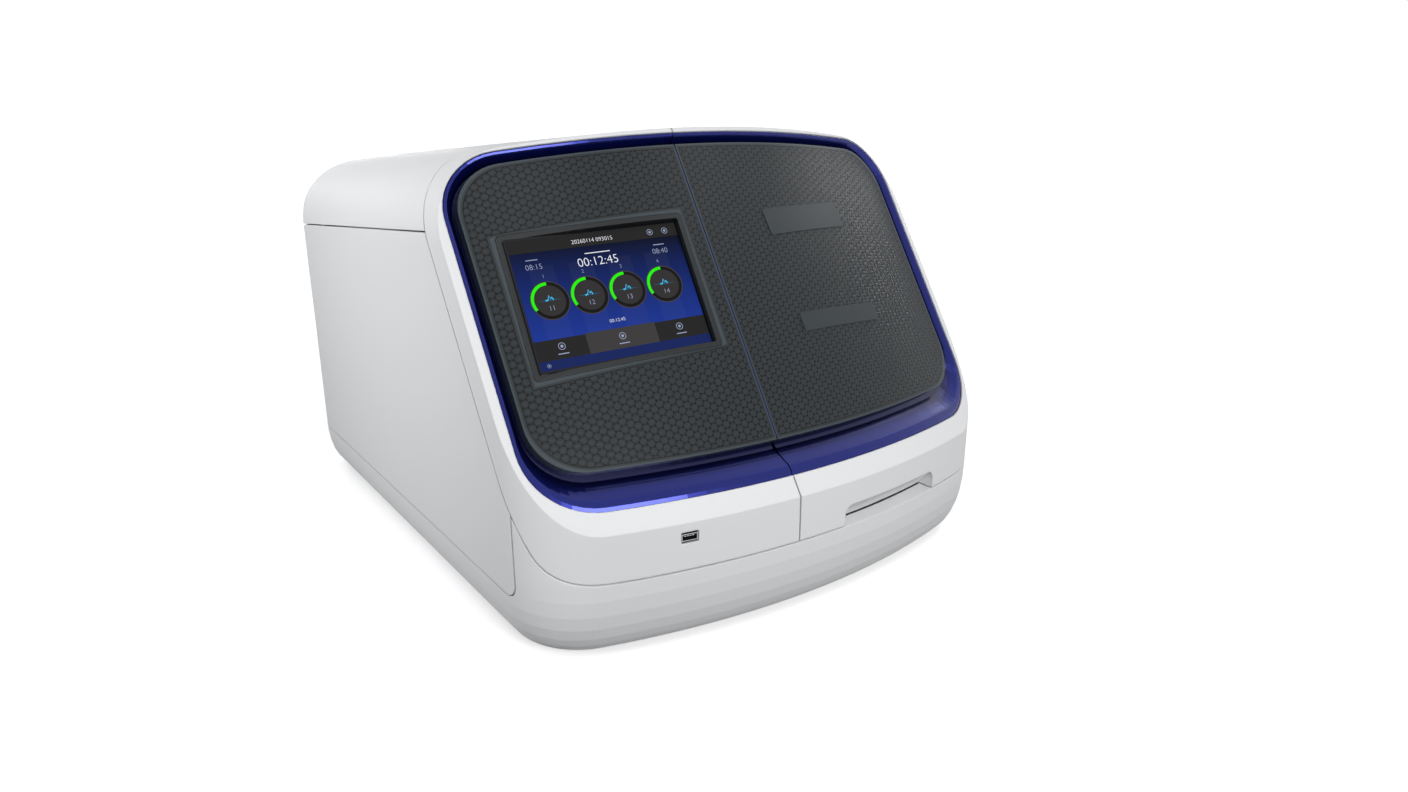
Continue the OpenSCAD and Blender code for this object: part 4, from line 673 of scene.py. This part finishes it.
@dataclass
class Screen:
    """The lit screen, drawn as thin flat pieces on the glass.

    Places and widths without a unit are shares of the lit area, from its left and from its top.

    Attributes:
        library: the finishes.
        place: where the glass lies.
        shape: shape of a dial.
        edge: width of the unlit edge, in mm.
        dials: middles of the four dials across.
        dial_y: height of the dials' middles.
        band_half: half width of a band behind a dial.
        band_ends: top and foot of the bands.
        top_bar: foot of the top bar.
        low_bar: top and foot of the low bar.
        middle_bar: left and right side of the low bar's middle.
        middle_top: top of the low bar's middle.
        field_tones: colours of the blue field at its foot and its top.
        field_ends: where those colours lie, in mm up the glass from its middle.
        band_lift: light that the bands add to the field.
        icon_ring: inner edge of an icon's ring, as a share of its radius.
        icon_dot: edge of its dot, as a share of its radius.
        digit_size: size of the lettering, as a share of the digits' height.
        digit_thin: how much the digits are thinned, as a share of their height.
    """

    library: FinishLibrary
    place: FacePlace = FacePlace()
    shape: DialShape = DialShape()
    edge: float = 1.6
    dials: tuple[float, ...] = (0.151, 0.375, 0.599, 0.825)
    dial_y: float = 0.488
    band_half: float = 0.07
    band_ends: Point = (0.22, 0.776)
    top_bar: float = 0.107
    low_bar: Point = (0.778, 0.93)
    middle_bar: Point = (0.285, 0.692)
    middle_top: float = 0.772
    field_tones: tuple[str, str] = ("#18348F", "#030A22")
    field_ends: Point = (-30.0, 45.0)
    band_lift: float = 0.005
    icon_ring: float = 0.84
    icon_dot: float = 0.4
    digit_size: float = 1.35
    digit_thin: float = 0.018

    def at(self, x: float, y: float) -> Point:
        """Turns shares of the lit area into mm on the glass, from its middle."""
        w, h = self.place.glass_w - 2 * self.edge, self.place.glass_h - 2 * self.edge
        return (x - 0.5) * w, (0.5 - y) * h

    def flat(self, name: str, loops: Sequence[Sequence[Point]], finish: str, layer: Layer) -> None:
        """Makes one flat piece from polygons given in mm on the glass.

        Args:
            name: name of the piece.
            loops: polygons, each a list of points.
            finish: finish of the piece.
            layer: its height over the glass.
        """
        verts: list[Vector] = []
        faces: list[range] = []
        for loop in loops:
            faces.append(range(len(verts), len(verts) + len(loop)))
            verts += [Vector((x, y, layer.value)) * MM for x, y in loop]
        mesh = mesh_of(name, verts, faces)
        mesh.transform(self.place.glass())
        riding_piece(name, mesh, self.library.get(finish))

    def rect(self, x0: float, y0: float, x1: float, y1: float) -> list[Point]:
        """Corners, in mm, of a rectangle given by its left, upper, right and lower side."""
        return [self.at(x0, y1), self.at(x1, y1), self.at(x1, y0), self.at(x0, y0)]

    def ring(self, centre: Point, inner: float, outer: float, turns: Point = (0, 360),
             steps: int = 48) -> list[list[Point]]:
        """Ring or arc as quads, or a disc when the inner radius is zero.

        Args:
            centre: middle, in mm.
            inner: inner radius, in mm.
            outer: outer radius, in mm.
            turns: first and last angle, in degrees.
            steps: number of quads.

        Returns:
            The polygons.
        """
        angles = [turns[0] + (turns[1] - turns[0]) * i / steps for i in range(steps + 1)]
        if inner <= 0:
            return [[polar(centre, outer, a) for a in angles[:-1]]]
        corners = ((inner, 0), (outer, 0), (outer, 1), (inner, 1))
        return [[polar(centre, r, pair[end]) for r, end in corners] for pair in zip(angles, angles[1:])]

    def digits(self, name: str, number: str, centre: Point, height: float, finish: str, layer: Layer) -> None:
        """Writes a plain number as a flat mesh.

        Args:
            name: name of the piece.
            number: digits, colons or spaces.
            centre: middle of the number, in mm.
            height: height of the digits, in mm.
            finish: finish of the piece.
            layer: its height over the glass.
        """
        curve = bpy.data.curves.new(name, "FONT")
        curve.body = number
        curve.align_x = curve.align_y = "CENTER"
        curve.size = height * MM * self.digit_size
        curve.offset = -height * MM * self.digit_thin
        curve.resolution_u = 4
        holder = new_object(name + "_source", curve)
        bpy.context.view_layer.update()
        mesh = bpy.data.meshes.new_from_object(holder.evaluated_get(bpy.context.evaluated_depsgraph_get()))
        bpy.data.objects.remove(holder)
        bpy.data.curves.remove(curve)
        mesh.name = name
        mesh.transform(Matrix.Translation(Vector((*centre, layer.value)) * MM))
        mesh.transform(self.place.glass())
        mesh.materials.clear()
        riding_piece(name, mesh, self.library.get(finish))

    def background(self) -> None:
        """Lays the bars, the blue field with its faint bands, and the lower strip."""
        for name, lift in (("ui_field", 0.0), ("ui_field_band", self.band_lift)):
            self.library.made[name] = self._gradient(name, lift)
        top, foot = self.low_bar
        left, right = self.middle_bar
        bands = [self.rect(x - self.band_half, self.band_ends[0], x + self.band_half, self.band_ends[1])
                 for x in self.dials]
        self.flat("screen_field", [self.rect(0, 0, 1, 1)], "ui_field", Layer.FIELD)
        self.flat("screen_bands", bands, "ui_field_band", Layer.BANDS)
        self.flat("screen_top_bar", [self.rect(0, 0, 1, self.top_bar)], "ui_bar", Layer.BARS)
        self.flat("screen_low_bar", [self.rect(0, top, left, foot), self.rect(right, top, 1, foot)],
                  "ui_bar", Layer.BARS)
        self.flat("screen_low_bar_middle", [self.rect(left, self.middle_top, right, foot)],
                  "ui_bar_light", Layer.MIDDLE_BAR)
        self.flat("screen_strip", [self.rect(0, foot, 1, 1)], "ui_strip", Layer.BARS)

    def _gradient(self, name: str, lift: float) -> Material:
        """Makes the blue field's material, darker towards the top.

        Args:
            name: material name.
            lift: light added over the whole field.

        Returns:
            The material.
        """
        material = empty_material(name)
        tree = material.node_tree
        low, high = ((self.place.glass() @ Vector((0, up * MM, 0))).z for up in self.field_ends)
        foot, top = ((*(part + lift for part in srgb(code)[:3]), 1.0) for code in self.field_tones)
        place = add_node(tree, "ShaderNodeTexCoord").outputs["Object"]
        axes = add_node(tree, "ShaderNodeSeparateXYZ", (place,))
        share = add_node(tree, RAMP, (axes.outputs["Z"], low, high))
        mix = add_node(tree, MIX, {"Factor": share, 6: foot, 7: top}, data_type="RGBA")
        shader = add_node(tree, "ShaderNodeBsdfPrincipled", {
            "Base Color": BLACK, "Roughness": 0.3, "Specular IOR Level": 0.06,
            "Emission Color": mix.outputs[2], "Emission Strength": 1.0})
        add_node(tree, "ShaderNodeOutputMaterial", {"Surface": shader})
        return material

    def dial(self, number: int, share: float) -> None:
        """Draws one round dial with its green arc, peak and numbers.

        Args:
            number: running number of the dial.
            share: its middle across.
        """
        shape, r, tag = self.shape, self.shape.radius, f"dial_{number}"
        centre = x, y = self.at(share, self.dial_y)
        for part, inner, outer, finish in shape.rings:
            self.flat(f"{tag}_{part}", self.ring(centre, r * inner, r * outer), finish, Layer.DIALS)
        arc = self.ring(centre, r * shape.arc[0], r * shape.arc[1], shape.arc_turns, steps=24)
        self.flat(f"{tag}_arc", arc, "ui_green", Layer.ARCS)
        reach = shape.line_half * r
        ends, foot, top = shape.line_heights
        self.flat(f"{tag}_line", [[(x - reach, y + ends), (x, y + foot), (x + reach, y + ends), (x, y + top)]],
                  "ui_cyan_dim", Layer.ARCS)
        over = [(x + r * u, y + r * v) for u, v in shape.peak]
        width, fall = shape.peak_under
        under = [(x + r * u * width, y + r * (v - fall)) for u, v in shape.peak]
        peak = [[over[i], over[i + 1], under[i + 1], under[i]] for i in range(len(over) - 1)]
        self.flat(f"{tag}_peak", peak, "ui_cyan", Layer.MARKS)
        drop, height = shape.number
        self.digits(f"{tag}_number", str(10 + number), (x, y - drop * r), height, "ui_pale", Layer.MARKS)
        place, height = shape.label
        self.digits(f"{tag}_label", str(number), self.at(share, place), height, "ui_pale", Layer.ARCS)

    def bar(self, x: float, y: float, w: float, h: float) -> list[Point]:
        """Corners, in mm, of a bar about a place, given its width and height in mm."""
        cx, cy = self.at(x, y)
        return [(cx + u * w / 2, cy + v * h / 2) for u, v in ((-1, -1), (1, -1), (1, 1), (-1, 1))]

    def build(self) -> None:
        """Builds the whole lit screen."""
        self.background()
        for name, number, x, y, height, finish in (
                ("top_number", "20260114 093015", 0.48, 0.066, 3.7, "ui_white"),
                ("main_time", "00:12:45", 0.48, 0.236, 7.8, "ui_white"),
                ("time_left", "08:15", 0.115, 0.222, 4.8, "ui_pale"),
                ("time_right", "08:40", 0.86, 0.22, 4.8, "ui_pale"),
                ("low_number", "00:12:45", 0.488, 0.712, 3.0, "ui_white")):
            self.digits(name, number, self.at(x, y), height, finish, Layer.MARKS)
        for name, x, width, finish in (
                ("dash_middle", 0.489, 22, "ui_white"), ("dash_left", 0.112, 10, "ui_pale"),
                ("dash_right", 0.863, 10, "ui_pale")):
            self.flat(name, [self.bar(x, 0.166, width, 0.7)], finish, Layer.MARKS)
        for number, share in enumerate(self.dials, 1):
            self.dial(number, share)
        for name, x, y, radius in (
                ("icon_top_a", 0.833, 0.058, 2.7), ("icon_top_b", 0.925, 0.058, 2.7),
                ("icon_low_a", 0.142, 0.837, 3.0), ("icon_low_b", 0.489, 0.837, 3.0),
                ("icon_low_c", 0.834, 0.837, 3.0), ("icon_corner", 0.046, 0.966, 1.6)):
            centre = self.at(x, y)
            ring = self.ring(centre, radius * self.icon_ring, radius, steps=32)
            dot = self.ring(centre, 0, radius * self.icon_dot, steps=20)
            self.flat(name, ring + dot, "ui_pale", Layer.MARKS)
        for name, x in (("dash_low_a", 0.142), ("dash_low_b", 0.489), ("dash_low_c", 0.836)):
            self.flat(name, [self.bar(x, 0.893, 9, 0.8)], "ui_pale", Layer.MARKS)


@dataclass
class FingerRecess:
    """Dark soft strip along the foot of the finger recess under the door: painted shade for the dark gap there.
    Sizes are in mm.

    Attributes:
        library: the finishes.
        ends: its left and right end.
        foot: height of the ledge that it lies on.
        height: its height.
        bow_y: middle of the strip's bow, in mm behind the origin.
        radius: radius of its front face.
        thick: its thickness.
        steps: number of stretches along the bow.
    """

    library: FinishLibrary
    ends: Point = (22.5, 143.0)
    foot: float = 68.8
    height: float = 1.5
    bow_y: float = 409.5
    radius: float = 696.4
    thick: float = 1.0
    steps: int = 24

    def build(self) -> None:
        """Sweeps the dark strip of painted shade along the bow of the strip."""
        (left, right), back = self.ends, self.radius - self.thick
        section = ((self.radius, 0), (self.radius, self.height), (back, self.height), (back, 0))
        verts, faces = [], []
        for i in range(self.steps + 1):
            turn = math.asin((left + (right - left) * i / self.steps) / self.radius)
            verts += [Vector((r * math.sin(turn), self.bow_y - r * math.cos(turn), self.foot + z)) * MM
                      for r, z in section]
        for i in range(0, 4 * self.steps, 4):
            faces += [(i + a, i + (a + 1) % 4, i + 4 + (a + 1) % 4, i + 4 + a) for a in range(4)]
        faces += [(3, 2, 1, 0), tuple(4 * self.steps + a for a in range(4))]
        # a dark strip as painted shade in the gap at the recess foot
        riding_piece("recess_shade_strip", mesh_of("recess_shade_strip", verts, faces), self.library.get("silicone_black"))


@dataclass
class FrontPort:
    """Bright rolled rim of the front socket's shell, and the contacts on its tongue. Sizes are in mm.

    Attributes:
        library: the finishes.
        across: place of the socket across the front.
        height: height of its middle.
        bow_r: radius of the strip that it sits in.
        bow_y: middle of that bow, in mm behind the origin.
        shell: half of the shell's width, half of its height, and its thickness.
        shell_y: depth of the shell's front edge.
        rim_d: depth of the rim in front of that edge.
        tongue_y: depth of the tongue's front edge.
        tongue_z: height of the tongue's underside over the middle.
        contact: width of a contact, its depth in front of the tongue, and its height.
        contacts: places of the contacts across the tongue.
    """

    library: FinishLibrary
    across: float = -131.0
    height: float = 96.8
    bow_r: float = 712.0
    bow_y: float = 409.5
    shell: Point3 = (6.55, 2.85, 0.4)
    shell_y: float = 1.0
    rim_d: float = 0.2
    tongue_y: float = 2.0
    tongue_z: float = 0.45
    contact: Point3 = (1.1, 0.15, 0.6)
    contacts: tuple[float, ...] = (-3.3, -1.1, 1.1, 3.3)

    def bars(self, name: str, spans: Sequence[tuple[Sequence[float], Sequence[float]]]) -> None:
        """Makes one steel piece from bars given by their lowest and highest corners in the socket's frame.

        Args:
            name: name of the piece.
            spans: corners of each bar, in mm: across, inward and up.
        """
        turn = Matrix.Rotation(math.asin(self.across / self.bow_r), 4, "Z")
        place = Matrix.Translation((0, self.bow_y, self.height)) @ turn @ Matrix.Translation((0, -self.bow_r, 0))
        sides = ((0, 1, 3, 2), (4, 6, 7, 5), (0, 4, 5, 1), (2, 3, 7, 6), (0, 2, 6, 4), (1, 5, 7, 3))
        verts, faces = [], []
        for low, high in spans:
            faces += [tuple(len(verts) + i for i in side) for side in sides]
            verts += [(place @ Vector((x, y, z))) * MM for x in (low[0], high[0]) for y in (low[1], high[1])
                      for z in (low[2], high[2])]
        riding_piece(name, mesh_of(name, verts, faces), self.library.get("ground_steel"))

    def build(self) -> None:
        """Lays the rim round the shell's mouth and the contacts at the tongue's front edge."""
        w, h, t = self.shell
        y0, y1 = self.shell_y - self.rim_d, self.shell_y
        self.bars("port_rim", [((-w, y0, h - t), (w, y1, h)), ((-w, y0, -h), (w, y1, t - h)),
                               ((-w, y0, t - h), (t - w, y1, h - t)), ((w - t, y0, t - h), (w, y1, h - t))])
        wide, deep, high = self.contact
        low, back = self.tongue_z, self.tongue_y
        self.bars("port_contacts", [((x - wide / 2, back - deep, low), (x + wide / 2, back, low + high))
                                    for x in self.contacts])


@dataclass(frozen=True)
class SubAssembly:
    """A sub-assembly of CAD nodes and what they are made of.

    Attributes:
        name: its plain name.
        finishes: name of each finish to the nodes that take it.
    """

    name: str
    finishes: dict[str, tuple[str, ...]]

    def dress(self, library: FinishLibrary, nodes: dict[str, bpy.types.Object]) -> None:
        """Gives each node its finish and logs it.

        Args:
            library: the finishes.
            nodes: objects of the CAD nodes by name.
        """
        for finish, names in self.finishes.items():
            for node in names:
                nodes[node].data.materials.clear()
                nodes[node].data.materials.append(library.get(finish))
                log.info("%s: node %s takes %s", self.name, node, finish)


SUB_ASSEMBLIES = (
    SubAssembly("covers", {
        "abs_painted_white": ("base_housing", "side_panel_left", "side_panel_right", "top_cover", "rear_panel",
                              "fascia_left"),
        "lacquer_blue": ("trim_left",), "polycarbonate_celled": ("dark_panel_left",),
        "polycarbonate_smooth": ("screen_bezel",), "cover_glass_black": ("touchscreen_glass",),
        # the socket takes black nylon all over, its steel shell too: painted shade for its dark inside
        "nylon_black": ("front_port",), "silicone_black": ("feet",), "ground_steel": ("cover_screws",)}),
    SubAssembly("door", {
        "abs_painted_white": ("door_shell",), "lacquer_blue": ("trim_door",),
        "polycarbonate_celled": ("dark_panel_door",), "abs_blue_strip": ("seam_strip",),
        "polyester_plate": ("blank_plates",), "abs_moulded_grey": ("door_liner",),
        "galvanised_sheet": ("hinge_arms", "hinge_brackets", "door_striker"),
        "ground_steel": ("hinge_pins",), "nylon_black": ("door_catch",)}),
    SubAssembly("frame", {
        "galvanised_sheet": ("chassis_plate", "frame_uprights", "cross_beam", "display_module")}),
    SubAssembly("bay", {
        "abs_moulded_grey": ("bay_liner", "bay_roof"), "silicone_black": ("bay_gasket",)}),
    SubAssembly("sample stage", {
        "ground_steel": ("guide_rods", "leadscrew"),
        "milled_aluminium": ("rod_supports", "carriage", "cross_stage", "lift_table"),
        "nylon_black": ("leadscrew_motor",),
        "polypropylene_natural": ("sample_plate", "buffer_reservoir")}),
    SubAssembly("cartridge", {
        "milled_aluminium": ("cartridge_rails",), "abs_moulded_slate": ("cartridge_body",),
        "abs_moulded_blue": ("cartridge_handle",), "nylon_black": ("cartridge_lever",),
        "ground_steel": ("capillary_array", "lever_pivot")}),
    SubAssembly("optics and power", {
        "nylon_black": ("detection_optics",), "milled_aluminium": ("laser_module", "board_heatsink"),
        "galvanised_sheet": ("high_voltage_supply", "power_supply"), "solder_mask_green": ("main_board",)}),
    SubAssembly("rear", {
        "nylon_black": ("fan_frames", "fan_rotor_left", "fan_rotor_right", "power_inlet", "power_rocker",
                        "rocker_housing"),
        "ground_steel": ("fan_guards",), "galvanised_sheet": ("data_ports",)}),
)


@dataclass(frozen=True)
class Lamp:
    """One rectangular soft light, in metres and degrees.

    Attributes:
        name: its name.
        place: where it hangs.
        target: point that it faces.
        size: width and height.
        watts: power.
        spread: angle over which its light spreads.
    """

    name: str
    place: Point3
    target: Point3
    size: Point
    watts: float
    spread: float = 180

    def build(self) -> None:
        """Hangs the light."""
        data = bpy.data.lights.new(self.name, "AREA")
        data.shape = "RECTANGLE"
        data.size, data.size_y = self.size
        data.energy = self.watts
        data.spread = math.radians(self.spread)
        lamp = new_object(self.name, data)
        lamp.location = self.place
        lamp.rotation_euler = (Vector(self.target) - Vector(self.place)).to_track_quat("-Z", "Y").to_euler()
        lamp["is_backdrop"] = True


LAMPS = (
    Lamp("left_side", (-1.25, 0.0, 0.5), (-0.25, 0.05, 0.34), (0.5, 0.4), 1.45, spread=80),
    Lamp("right_side", (1.25, 0.4, 0.52), (0.25, 0.1, 0.34), (0.5, 0.4), 1.3, spread=80),
    Lamp("back", (0.05, 1.6, 0.34), (0, 0.3, 0.2), (0.8, 0.4), 2.4, spread=90),
    Lamp("fill_front", (-0.2, -1.8, 0.78), (-0.03, -0.25, 0.16), (0.9, 0.6), 8, spread=120),
    Lamp("sheen_left", (-0.15, -0.78, 1.5), (-0.2, -0.1, 0.36), (0.45, 0.25), 1.1),
    Lamp("sheen_middle", (0.74, -0.57, 1.38), (0, -0.08, 0.37), (0.45, 0.25), 1.1),
    Lamp("sheen_right", (1.25, -0.33, 1.06), (0.15, -0.1, 0.36), (0.45, 0.25), 1.2),
)


@dataclass
class Studio:
    """Pale floor, soft lights, world and camera.

    Attributes:
        library: the finishes.
        eye: place of the camera, in metres.
        yaw: turn of the view from +Y towards +X, in degrees.
        pitch: downward tilt of the view, in degrees.
        lens: focal length, in mm.
        sensor: width of the sensor, in mm.
        near: nearest distance that the camera sees, in metres.
        sky: colour of the world's light.
        zenith: its strength from above.
        horizon: its strength from the horizon.
        zenith_rise: share of the way up at which the zenith's strength is reached.
        floor_half: half width of the floor, in metres.
        floor_tone: colour of the floor where it is looked at.
        bounce: share of the light that the floor gives back to the object.
        floor_lift: light added, where it is looked at, to the floor near the object.
        fade: distances over which the floor fades into the backdrop, in metres.
    """

    library: FinishLibrary
    eye: Point3 = (-0.51514, -0.84531, 0.4202)
    yaw: float = 35.58
    pitch: float = 17.32
    lens: float = 24.82
    sensor: float = 36
    near: float = 0.01
    sky: str = "#FBFCFF"
    zenith: float = 0.3
    horizon: float = 0.34
    zenith_rise: float = 0.9
    floor_half: float = 30
    floor_tone: str = "#F4F4F5"
    bounce: float = 0.04
    floor_lift: float = 0.5
    fade: Point = (0.5, 2.5)

    def _seen(self, tree: NodeTree) -> Node:
        """Tells whether a backdrop is looked at, also in gloss or through glass, or lights the object.

        Args:
            tree: node tree that takes the nodes.

        Returns:
            The node that gives 1 where it is looked at.
        """
        path = add_node(tree, "ShaderNodeLightPath").outputs
        gloss = add_node(tree, MATH, (path["Is Glossy Ray"], path["Is Transmission Ray"]), operation="MAXIMUM")
        return add_node(tree, MATH, (path["Is Camera Ray"], gloss), operation="MAXIMUM")

    def _world(self) -> bpy.types.World:
        """Makes the world, plain white where it is looked at and a little dimmer overhead for the light.

        Returns:
            The world.
        """
        world = bpy.data.worlds.new("studio")
        world.use_nodes = True
        tree = world.node_tree
        tree.nodes.clear()
        place = add_node(tree, "ShaderNodeTexCoord").outputs["Generated"]
        axes = add_node(tree, "ShaderNodeSeparateXYZ", (place,))
        rise = add_node(tree, RAMP, (axes.outputs["Z"], 0.0, self.zenith_rise, self.horizon, self.zenith))
        glow = add_node(tree, "ShaderNodeBackground", {"Color": srgb(self.sky), "Strength": rise})
        plain = add_node(tree, "ShaderNodeBackground", {"Color": WHITE})
        mix = add_node(tree, "ShaderNodeMixShader", (self._seen(tree), glow, plain))
        add_node(tree, "ShaderNodeOutputWorld", {"Surface": mix})
        return world

    def _floor(self) -> None:
        """Lays the floor, which fades into the white backdrop and gives back less light to the object."""
        half = self.floor_half
        mesh = mesh_of("floor", [(-half, -half, 0), (half, -half, 0), (half, half, 0), (-half, half, 0)],
                       [(0, 1, 2, 3)])
        mesh.materials.append(self.library.get("paper_pale"))
        new_object("floor", mesh)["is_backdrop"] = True
        tree = mesh.materials[0].node_tree
        shader = next(node for node in tree.nodes if node.type == "BSDF_PRINCIPLED")
        seen = self._seen(tree)
        tone = add_node(tree, MIX, {
            "Factor": seen, 6: (*(self.bounce,) * 3, 1.0), 7: srgb(self.floor_tone)}, data_type="RGBA")
        place = add_node(tree, "ShaderNodeTexCoord").outputs["Object"]
        away = add_node(tree, "ShaderNodeVectorMath", (place,), operation="LENGTH").outputs["Value"]
        fade = add_node(tree, RAMP, (away, *self.fade, self.floor_lift, 1.0))
        lift = add_node(tree, MATH, (seen, fade), operation="MULTIPLY")
        shader.inputs["Emission Color"].default_value = WHITE
        shader.inputs["Specular IOR Level"].default_value = 0.0
        tree.links.new(tone.outputs[2], shader.inputs["Base Color"])
        tree.links.new(lift.outputs[0], shader.inputs["Emission Strength"])

    def _camera(self) -> None:
        """Sets up the camera."""
        camera = new_object("camera", bpy.data.cameras.new("camera"))
        camera.data.lens = self.lens
        camera.data.sensor_width = self.sensor
        camera.data.clip_start = self.near
        yaw, pitch = math.radians(self.yaw), math.radians(self.pitch)
        look = Vector((math.sin(yaw) * math.cos(pitch), math.cos(yaw) * math.cos(pitch), -math.sin(pitch)))
        camera.location = self.eye
        camera.rotation_mode = "QUATERNION"
        camera.rotation_quaternion = look.to_track_quat("-Z", "Y")
        bpy.context.scene.camera = camera

    def build(self) -> None:
        """Builds the floor, world, lights and camera, and sets the plain view transform."""
        self._floor()
        bpy.context.scene.world = self._world()
        for lamp in LAMPS:
            lamp.build()
        self._camera()
        bpy.context.scene.view_settings.view_transform = "Standard"


def size_lines(label: str, out: dict[str, list[list[float]]]) -> None:
    """Notes the object's bounds.

    Args:
        label: when they were taken.
        out: dictionary that takes them.
    """
    lo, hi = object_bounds()
    out[label] = [[float(v) for v in lo], [float(v) for v in hi]]


def main() -> None:
    """Builds the whole scene and logs the finish of each node."""
    logging.basicConfig(level=logging.INFO, format="%(message)s", stream=sys.stdout)
    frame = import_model()
    sizes: dict[str, list[list[float]]] = {}
    size_lines("loaded", sizes)
    library = FinishLibrary()
    for part in SUB_ASSEMBLIES:
        part.dress(library, frame["nodes"])
    for builder in (Screen, FingerRecess, FrontPort, Studio):
        builder(library).build()
    size_lines("finished", sizes)


if __name__ == "__main__":
    main()
